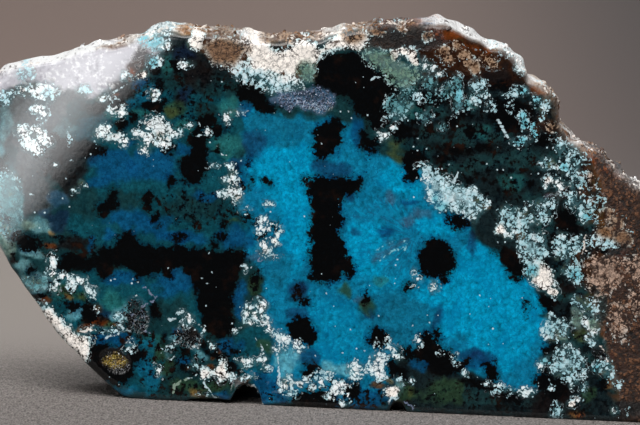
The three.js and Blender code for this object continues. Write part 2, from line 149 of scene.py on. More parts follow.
# The coloured grounds, from the lowest coat to the uppermost: a colour, how strongly it covers, and where.
ZONES = [
    ("azure", 1, [[(236, 106), (262, 112), (300, 112), (320, 116), (348, 126), (366, 146), (400, 162),
      (428, 176), (444, 200), (472, 226), (500, 262), (538, 285), (548, 340), (540, 388), (500, 388),
      (470, 374), (420, 350), (394, 350), (380, 398), (350, 404), (262, 402), (274, 345), (262, 300),
      (262, 280), (246, 250), (236, 204), (243, 165)]]),
    ("sky", 0.9, [(500, 318, 44, 48), (455, 300, 40, 34), (480, 262, 26, 22), (405, 180, 30, 16),
      (285, 170, 32, 36), (292, 230, 16, 50), (365, 250, 22, 30), (430, 225, 24, 12), (515, 314, 18, 14)]),
    ("sky", 0.5, [(330, 330, 34, 34), (400, 300, 40, 30)]),
    ("sea", 0.8, [(400, 320, 36, 24), (272, 132, 34, 16), (385, 300, 20, 14), (275, 265, 18, 18),
      (345, 385, 14, 10), (288, 122, 15, 9)]),
    ("bark", 1, [[(424, 20), (462, 26), (494, 36), (520, 56), (536, 76), (558, 96), (548, 108), (530, 100),
      (505, 92), (480, 84), (456, 80), (430, 70), (418, 52)]]),
    ("teal", 0.85, [[(70, 130), (120, 104), (170, 92), (222, 94), (240, 130), (230, 190), (246, 232),
      (238, 256), (150, 252), (70, 244), (62, 190)], [(58, 275), (160, 268), (200, 300), (206, 345),
      (150, 398), (90, 380), (56, 320)], [(236, 338), (258, 300), (272, 345), (262, 402), (235, 396)]]),
    ("pine", 0.9, [(196, 207, 36, 14), (168, 325, 26, 28), (75, 200, 22, 20), (176, 372, 18, 18),
      (135, 320, 13, 14), (205, 110, 12, 10), (120, 200, 14, 8)]),
    ("umber", 1, [[(400, 352), (470, 376), (540, 386), (640, 390), (640, 425), (392, 412), (396, 372)],
      [(398, 84), (440, 72), (500, 78), (562, 104), (566, 150), (520, 152), (470, 182), (440, 178),
      (428, 150), (395, 126)], [(470, 140), (548, 134), (594, 150), (604, 230), (590, 300), (602, 360),
      (602, 400), (545, 395), (548, 340), (542, 285), (505, 262), (470, 225), (468, 180)], [(168, 26),
      (330, 26), (330, 60), (262, 70), (230, 84), (172, 80), (150, 60)]]),
    ("brown", 1, [[(572, 136), (600, 150), (640, 178), (700, 250), (760, 330), (740, 430), (622, 425),
      (616, 385), (606, 356), (600, 326), (594, 292), (590, 264), (614, 246), (604, 222), (600, 190),
      (588, 160)]]),
    ("fog", 1, [[(-40, 50), (60, 40), (120, 24), (150, 34), (152, 64), (128, 80), (100, 90), (60, 118),
      (48, 160), (52, 212), (26, 214), (18, 150), (-40, 150)]]),
    ("milk", 0.9, [[(-40, 58), (0, 60), (60, 44), (100, 34), (135, 28), (152, 34), (160, 50), (150, 64),
      (132, 76), (112, 84), (84, 92), (56, 90), (30, 84), (0, 100), (-40, 110)]]),
    ("soot", 0.8, [(68, 166, 18, 28), (92, 148, 18, 10), (100, 108, 16, 10), (62, 132, 14, 10),
      (195, 74, 16, 14), (72, 246, 16, 8), (122, 90, 14, 9), (140, 62, 10, 10), (180, 100, 8, 8)]),
    ("lichen", 1, [(8, 205, 18, 34), (-14, 180, 14, 60), (36, 284, 20, 9), (42, 226, 12, 9),
      (30, 256, 12, 5), (24, 268, 8, 6)]),
    ("lichen", 0.6, [(66, 130, 12, 9), (4, 128, 10, 16)]),
    ("sage", 0.7, [(10, 252, 9, 9), (30, 225, 8, 6), (2, 238, 8, 6)]),
    ("jade", 0.75, [(225, 148, 15, 14), (110, 118, 10, 7), (228, 108, 12, 8), (142, 115, 9, 5),
      (112, 303, 13, 8), (166, 66, 7, 12), (150, 340, 12, 7), (180, 130, 8, 6), (60, 290, 5, 10)]),
    ("sea", 0.8, [(146, 93, 11, 6, -25), (235, 164, 8, 5), (150, 372, 10, 26), (142, 342, 10, 6),
      (120, 390, 18, 5), (130, 103, 7, 5), (255, 372, 6, 5)]),
    ("deep", 0.8, [(115, 165, 22, 20), (150, 166, 24, 15), (100, 182, 12, 8), (205, 195, 10, 5),
      (190, 240, 16, 7), (165, 237, 12, 6), (235, 238, 16, 12), (108, 234, 9, 7), (90, 247, 4, 7),
      (148, 262, 8, 5), (172, 283, 22, 13), (120, 281, 18, 9), (182, 153, 8, 6), (125, 216, 20, 10),
      (150, 225, 18, 10), (245, 291, 7, 9), (225, 345, 14, 7), (185, 359, 8, 4), (178, 335, 8, 4),
      (264, 385, 11, 16), (104, 340, 10, 6), (122, 341, 12, 5), (243, 112, 9, 7), (133, 143, 7, 4),
      (356, 130, 5, 18), (408, 203, 10, 3), (385, 232, 8, 7), (372, 398, 20, 12), (476, 362, 12, 7),
      (420, 360, 8, 8), (222, 396, 9, 3), (140, 85, 8, 4), (240, 310, 6, 16)]),
    ("navy", 0.5, [(252, 148, 14, 12), (240, 164, 8, 6), (330, 167, 18, 9), (183, 55, 12, 8),
      (358, 232, 5, 3), (350, 196, 6, 4), (475, 245, 6, 12), (300, 290, 9, 12), (437, 320, 6, 12),
      (60, 222, 10, 12), (300, 287, 8, 6), (425, 118, 9, 5), (308, 358, 12, 9), (106, 312, 6, 5),
      (470, 355, 12, 5), (185, 95, 8, 6), (484, 358, 10, 5), (300, 314, 14, 6), (372, 312, 5, 6),
      (282, 398, 8, 6), (330, 402, 14, 5)]),
    ("slate", 0.7, [[(366, 260), (372, 255), (385, 247), (398, 243), (406, 244), (396, 250), (380, 258),
      (370, 263)], (276, 245, 5, 3), (257, 259, 7, 4), (388, 200, 6, 8), (405, 222, 7, 7),
      (420, 215, 10, 5), (46, 212, 6, 5), (283, 102, 16, 6), (362, 300, 7, 7), (60, 200, 10, 7)]),
    ("spruce", 0.9, [(575, 215, 12, 9), (548, 228, 10, 8), (596, 300, 8, 12), (560, 290, 10, 8),
      (575, 340, 12, 8), (590, 360, 8, 10), (530, 196, 12, 7), (560, 410, 20, 8), (480, 132, 30, 8),
      (520, 160, 20, 10), (430, 112, 14, 8), (448, 168, 16, 7)]),
    ("moss", 0.75, [(405, 395, 12, 12), (445, 392, 26, 14), (66, 291, 8, 8), (80, 297, 8, 6),
      (190, 386, 13, 9), (175, 110, 12, 9), (256, 286, 5, 10), (233, 221, 6, 3), (265, 345, 7, 6),
      (345, 288, 8, 7), (370, 306, 8, 8), (219, 388, 13, 7), (590, 393, 9, 5), (166, 368, 9, 10),
      (160, 352, 6, 8)]),
    ("olive", 0.7, [[(392, 140), (402, 140), (401, 150), (402, 160), (396, 163), (391, 157), (393, 150)],
      (168, 112, 7, 5), (410, 390, 4, 8), (107, 323, 5, 4), (80, 299, 4, 3), (577, 333, 8, 6),
      (588, 300, 5, 9)]),
    ("spruce", 0.8, [(490, 160, 18, 9), (436, 88, 8, 7), (445, 358, 11, 4), (557, 158, 7, 6),
      (430, 134, 13, 8), (455, 142, 20, 6), (566, 297, 9, 5), (583, 287, 8, 7), (540, 228, 8, 5),
      (592, 228, 10, 3), (510, 212, 6, 4), (553, 266, 7, 9), (562, 340, 12, 5), (560, 143, 6, 4),
      (470, 165, 10, 8), (525, 398, 14, 4), (480, 398, 18, 9)]),
    ("jade", 0.6, [(408, 110, 13, 8), (408, 92, 10, 5), (445, 96, 7, 6), (485, 125, 5, 4), (470, 105, 5, 7),
      (478, 135, 5, 4), (380, 277, 6, 4), (515, 182, 13, 7)]),
    ("sage", 0.85, [[(358, 57), (365, 51), (378, 51), (386, 56), (393, 60), (396, 70), (386, 74), (372, 66),
      (362, 62)], (397, 72, 9, 7), (406, 83, 9, 8), (310, 72, 10, 10), (575, 318, 5, 11), (592, 325, 6, 8),
      (557, 336, 6, 4)]),
    ("soot", 0.9, [(360, 63, 12, 6), (495, 76, 22, 11), (570, 287, 10, 5), (548, 402, 24, 12),
      (626, 408, 20, 8), (320, 84, 8, 10)]),
    ("bark", 0.9, [BARK_LUMP, [(198, 40), (205, 30), (212, 28), (220, 34), (216, 44), (207, 46)],
      (435, 76, 13, 5), (461, 73, 8, 7), (135, 70, 7, 7), (500, 85, 14, 5), (553, 196, 12, 6),
      (512, 68, 6, 9), (520, 78, 6, 6), (530, 255, 5, 8), (90, 315, 7, 11), (100, 320, 6, 5)]),
    ("brown", 0.9, [BROWN_OVAL]),
    ("tan", 0.9, [(85, 337, 8, 4), (600, 268, 10, 11), (226, 35, 18, 4), (268, 43, 7, 6)]),
    ("brown", 0.9, [[(590, 262), (600, 252), (625, 250), (648, 262), (652, 290), (628, 292), (612, 300),
      (598, 292)]]),
    ("brown", 0.8, [(590, 269, 7, 8), (630, 275, 9, 8), (608, 225, 12, 12), (225, 57, 9, 6),
      (243, 380, 7, 3), (610, 190, 12, 10)]),
    ("rust", 0.75, [[(272, 72), (280, 70), (290, 73), (298, 70), (300, 78), (296, 83), (288, 78),
      (278, 78)], [(425, 30), (440, 30), (460, 39), (475, 46), (480, 57), (465, 53), (450, 46), (438, 40)],
      (335, 31, 7, 4), (485, 50, 6, 4), (113, 97, 4, 3), (537, 92, 6, 3), (556, 115, 3, 5),
      (612, 166, 12, 5), (52, 248, 5, 4), (45, 299, 8, 3), (92, 319, 5, 7), (84, 327, 8, 3),
      (102, 322, 5, 4), (116, 322, 4, 3), (215, 354, 4, 5), (209, 364, 7, 3), (376, 383, 8, 2.5, 25),
      (578, 411, 4, 3), (628, 182, 8, 6), (565, 190, 3, 3), (187, 368, 3, 2), (132, 77, 4, 6),
      (594, 156, 8, 5)]),
    ("amber", 0.6, [(413, 22, 3, 4), (493, 49, 4, 5), (281, 74, 4, 2), (95, 309, 3, 2),
      (387, 379, 2.5, 5, -30), (611, 384, 4, 3), (600, 373, 4, 3), (485, 210, 5, 3), (519, 236, 7, 5),
      (573, 412, 5, 4), (197, 391, 6, 3), (545, 97, 7, 2.5), (51, 234, 4, 3), (112, 324, 3, 2),
      (368, 30, 8, 3), (596, 226, 4, 6), (190, 34, 7, 4), (310, 38, 9, 3), (592, 150, 7, 3),
      (67, 296, 4, 3)]),
    ("lilac", 0.6, [(324, 103, 11, 8), (280, 99, 12, 5), (300, 103, 10, 4), (545, 195, 5, 3)]),
    ("aqua", 0.7, [(155, 43, 10, 7), (288, 362, 11, 14), (330, 366, 10, 7), (345, 370, 9, 6),
      (118, 312, 10, 9), (70, 314, 11, 5), (201, 354, 6, 4), (396, 380, 5, 6), (457, 100, 3, 13),
      (474, 84, 6, 7), (172, 340, 7, 4)]),
]

# Where the opal is broken up by small random patches of charcoal, and how much.
MOTTLED = [
    (0.5, [[(398, 90), (440, 74), (500, 80), (552, 104), (560, 140), (540, 160), (470, 184), (425, 170),
      (410, 150)], [(262, 30), (320, 40), (330, 60), (262, 70)]]),
    (0.35, [[(490, 150), (548, 134), (590, 158), (600, 230), (590, 300), (602, 360), (600, 400), (550, 392),
      (552, 340), (545, 285), (512, 240), (480, 200)]]),
    (0.55, [[(100, 345), (170, 335), (250, 345), (245, 392), (150, 396)], [(262, 380), (400, 380),
      (400, 408), (262, 400)], [(400, 380), (540, 395), (620, 400), (620, 415), (400, 408)], [(130, 60),
      (185, 40), (230, 80), (190, 130), (130, 125)]]),
    (0.5, [(70, 250, 30, 14), (120, 330, 30, 25), (60, 160, 24, 24), (195, 210, 40, 20),
      (60, 300, 20, 18)]),
]

# Charcoal: the black patches in the opal.
CHAR = [
    [(96, 208), (100, 203), (108, 200), (110, 192), (106, 188), (112, 187), (117, 195), (115, 203),
    (118, 206), (112, 210), (105, 214), (98, 213)], [(141, 195), (145, 191), (152, 192), (155, 198),
    (150, 202), (150, 208), (145, 212), (140, 208), (142, 202)], [(152, 222), (153, 215), (157, 211),
    (160, 215), (160, 222), (156, 226)], [(59, 265), (60, 255), (75, 253), (90, 258), (100, 250),
    (112, 248), (117, 240), (122, 232), (130, 229), (137, 235), (138, 243), (150, 246), (165, 248),
    (180, 246), (190, 250), (205, 250), (225, 252), (232, 248), (243, 249), (247, 255), (248, 262),
    (243, 268), (240, 278), (237, 290), (234, 300), (232, 310), (234, 320), (233, 329), (229, 336),
    (221, 338), (212, 337), (206, 333), (203, 326), (200, 315), (199, 303), (196, 293), (191, 285),
    (187, 274), (180, 267), (172, 268), (168, 276), (160, 273), (150, 275), (140, 280), (135, 275),
    (125, 268), (115, 268), (112, 275), (105, 282), (100, 278), (95, 268), (88, 270), (75, 272), (62, 274)],
    [(188, 140), (188, 158), (180, 163), (180, 170), (183, 176), (183, 182), (188, 184), (193, 184),
    (198, 180), (203, 174), (208, 168), (206, 160), (207, 150), (210, 138), (200, 133), (190, 134)],
    [(166, 178), (171, 176), (173, 180), (173, 187), (169, 185)], [(239, 180), (246, 179), (249, 186),
    (246, 190), (241, 188)], [(262, 180), (268, 180), (273, 183), (271, 187), (268, 188), (265, 184)],
    [(238, 216), (243, 213), (250, 214), (257, 219), (259, 223), (256, 226), (250, 224), (243, 221)],
    [(303, 178), (325, 176), (345, 177), (362, 176), (363, 185), (358, 190), (352, 195), (345, 198),
    (340, 201), (341, 210), (344, 218), (341, 228), (336, 235), (340, 242), (345, 250), (346, 258),
    (350, 266), (354, 272), (350, 277), (340, 276), (335, 280), (325, 284), (318, 283), (311, 280),
    (309, 268), (310, 258), (310, 245), (308, 235), (309, 225), (311, 215), (311, 206), (308, 196),
    (304, 186)], [(420, 247), (425, 241), (432, 239), (440, 241), (447, 246), (455, 250), (453, 260),
    (453, 270), (448, 275), (442, 280), (435, 277), (425, 275), (421, 268), (418, 260), (419, 252)],
    [(402, 282), (410, 280), (415, 285), (410, 290), (402, 288)], [(446, 212), (452, 212), (460, 216),
    (468, 223), (462, 227), (452, 226), (446, 222)], [(365, 140), (378, 139), (379, 147), (375, 153),
    (369, 153), (366, 148)], [(404, 150), (412, 148), (420, 150), (430, 160), (420, 165), (418, 172),
    (422, 180), (414, 182), (406, 181), (402, 176), (403, 168), (400, 162)], [(313, 75), (318, 60),
    (328, 57), (340, 57), (355, 53), (362, 60), (372, 68), (385, 74), (392, 82), (397, 92), (395, 100),
    (388, 105), (390, 115), (392, 125), (385, 130), (375, 130), (368, 122), (358, 118), (352, 108),
    (345, 100), (335, 98), (325, 98), (318, 92), (313, 86)], [(312, 133), (318, 125), (326, 119),
    (338, 122), (344, 128), (343, 140), (338, 150), (325, 158), (312, 155)], [(226, 87), (233, 88),
    (240, 83), (250, 82), (258, 85), (262, 90), (265, 96), (270, 102), (278, 107), (270, 113), (262, 115),
    (256, 113), (250, 106), (240, 103), (236, 98), (238, 93), (232, 92)], [(140, 105), (146, 100),
    (155, 100), (163, 102), (160, 112), (150, 115), (143, 112)], [(115, 128), (120, 121), (127, 121),
    (131, 128), (129, 133), (120, 133)], [(163, 146), (170, 145), (174, 150), (170, 156), (164, 153)],
    [(92, 347), (96, 344), (101, 343), (105, 345), (110, 344), (115, 348), (122, 348), (126, 351),
    (131, 350), (135, 346), (140, 345), (145, 348), (147, 353), (144, 359), (139, 361), (135, 365),
    (133, 372), (131, 378), (126, 383), (118, 385), (110, 383), (100, 379), (90, 370), (86, 362),
    (89, 355)], [(288, 324), (293, 320), (300, 318), (308, 319), (314, 323), (316, 330), (314, 337),
    (308, 341), (303, 344), (299, 340), (293, 338), (289, 333)], [(366, 336), (369, 329), (374, 326),
    (380, 328), (388, 332), (388, 338), (384, 345), (378, 348), (370, 345), (366, 341)], [(364, 292),
    (368, 291), (371, 297), (368, 302), (365, 307), (361, 304), (366, 300)], [(420, 335), (428, 331),
    (436, 333), (438, 342), (442, 348), (450, 352), (460, 360), (470, 358), (471, 366), (460, 371),
    (448, 374), (436, 376), (430, 372), (424, 362), (415, 356), (404, 352), (398, 347), (410, 346),
    (418, 345)], [(484, 364), (492, 362), (497, 368), (498, 376), (495, 381), (488, 380), (485, 374)],
    [(462, 380), (480, 379), (496, 386), (510, 390), (521, 397), (516, 404), (503, 402), (490, 391),
    (470, 389)], [(540, 372), (548, 372), (554, 378), (562, 382), (566, 390), (560, 400), (548, 398),
    (540, 390), (536, 384), (536, 377)], [(490, 250), (500, 248), (510, 250), (518, 255), (522, 262),
    (525, 270), (520, 277), (512, 277), (508, 268), (500, 258)], [(552, 215), (560, 208), (570, 210),
    (577, 215), (580, 222), (575, 232), (565, 230), (558, 228), (552, 224)], [(590, 250), (615, 250),
    (625, 245), (620, 255), (600, 257)], [(542, 292), (548, 297), (555, 300), (553, 310), (560, 315),
    (555, 318), (548, 312), (543, 305), (540, 298)], [(543, 349), (548, 344), (556, 345), (554, 352),
    (545, 354)], [(488, 104), (510, 98), (534, 106), (536, 122), (520, 132), (498, 132), (486, 118)],
    [(18, 245), (22, 240), (30, 237), (38, 238), (40, 245), (36, 250), (27, 254), (20, 251)], [(28, 270),
    (33, 269), (38, 275), (37, 278), (31, 276)], [(62, 303), (66, 301), (72, 302), (78, 307), (77, 310),
    (70, 312), (64, 308)], [(82, 303), (90, 302), (98, 309), (99, 315), (93, 320), (87, 326), (82, 322),
    (82, 314), (80, 308)], [(188, 333), (192, 330), (197, 332), (198, 337), (192, 341), (187, 339)],
    [(201, 342), (206, 343), (210, 348), (216, 349), (222, 351), (230, 355), (236, 362), (236, 370),
    (230, 371), (225, 366), (220, 360), (214, 357), (208, 354), (203, 349)], [(176, 361), (182, 363),
    (188, 366), (186, 370), (182, 366)], [(158, 338), (162, 337), (168, 342), (166, 345), (160, 341)],
    [(342, 381), (350, 382), (358, 380), (362, 388), (360, 395), (352, 402), (345, 398), (343, 390)],
    [(386, 359), (393, 361), (401, 363), (408, 369), (408, 377), (403, 376), (396, 372), (389, 374),
    (385, 366)], [(292, 394), (305, 389), (324, 389), (336, 394), (344, 404), (336, 412), (292, 408)],
    [(306, 366), (314, 364), (320, 368), (318, 374), (308, 378), (302, 375)], (157, 73, 6, 5),
    (157, 87, 4, 7), (135, 120, 5, 7), (120, 104, 7, 5), (95, 151, 10, 5), (219, 153, 3, 3),
    (240, 169, 3, 3), (252, 179, 2, 2), (250, 163, 3, 4), (224, 223, 4, 3), (275, 226, 3, 4),
    (262, 237, 5, 3), (219, 237, 6, 6), (213, 244, 4, 4), (178, 238, 8, 4), (257, 283, 4, 8),
    (316, 149, 5, 9), (205, 122, 14, 7), (218, 132, 9, 8), (197, 141, 12, 8), (154, 311, 5, 9),
    (52, 283, 3, 3), (234, 350, 4, 3), (54, 263, 3, 4), (365, 140, 6, 10), (430, 100, 19, 7),
    (420, 106, 6, 5), (400, 130, 11, 9), (410, 121, 6, 5), (178, 70, 7, 7), (15, 238, 4, 5),
    (7, 221, 2.5, 3.5), (13, 243, 2, 3), (2, 165, 5, 6), (14, 256, 2, 2), (14, 261, 2, 2), (185, 350, 6, 4),
    (300, 291, 3, 6), (305, 302, 4, 3), (293, 298, 3, 3), (437, 334, 4, 6), (527, 305, 2, 4),
    (567, 310, 4, 7), (545, 141, 9, 7), (480, 146, 9, 6), (455, 148, 17, 6), (530, 184, 4, 3),
    (552, 240, 4, 10), (584, 349, 5, 4), (598, 356, 7, 4), (400, 405, 7, 4), (515, 277, 5, 3),
    (38, 297, 7, 3), (418, 24, 8, 4), (420, 44, 9, 5), (392, 34, 7, 5), (450, 124, 8, 6), (462, 116, 8, 5),
    (502, 88, 14, 5), (440, 160, 7, 5), (558, 262, 4, 4), (545, 262, 3, 6), (178, 391, 5, 3),
    (195, 372, 5, 4), (240, 371, 3, 3), (604, 383, 7, 4), (345, 270, 8, 6), (245, 392, 8, 6),
    (470, 132, 6, 6), (116, 322, 3, 2), (603, 153, 4, 3), (620, 172, 5, 4),
]

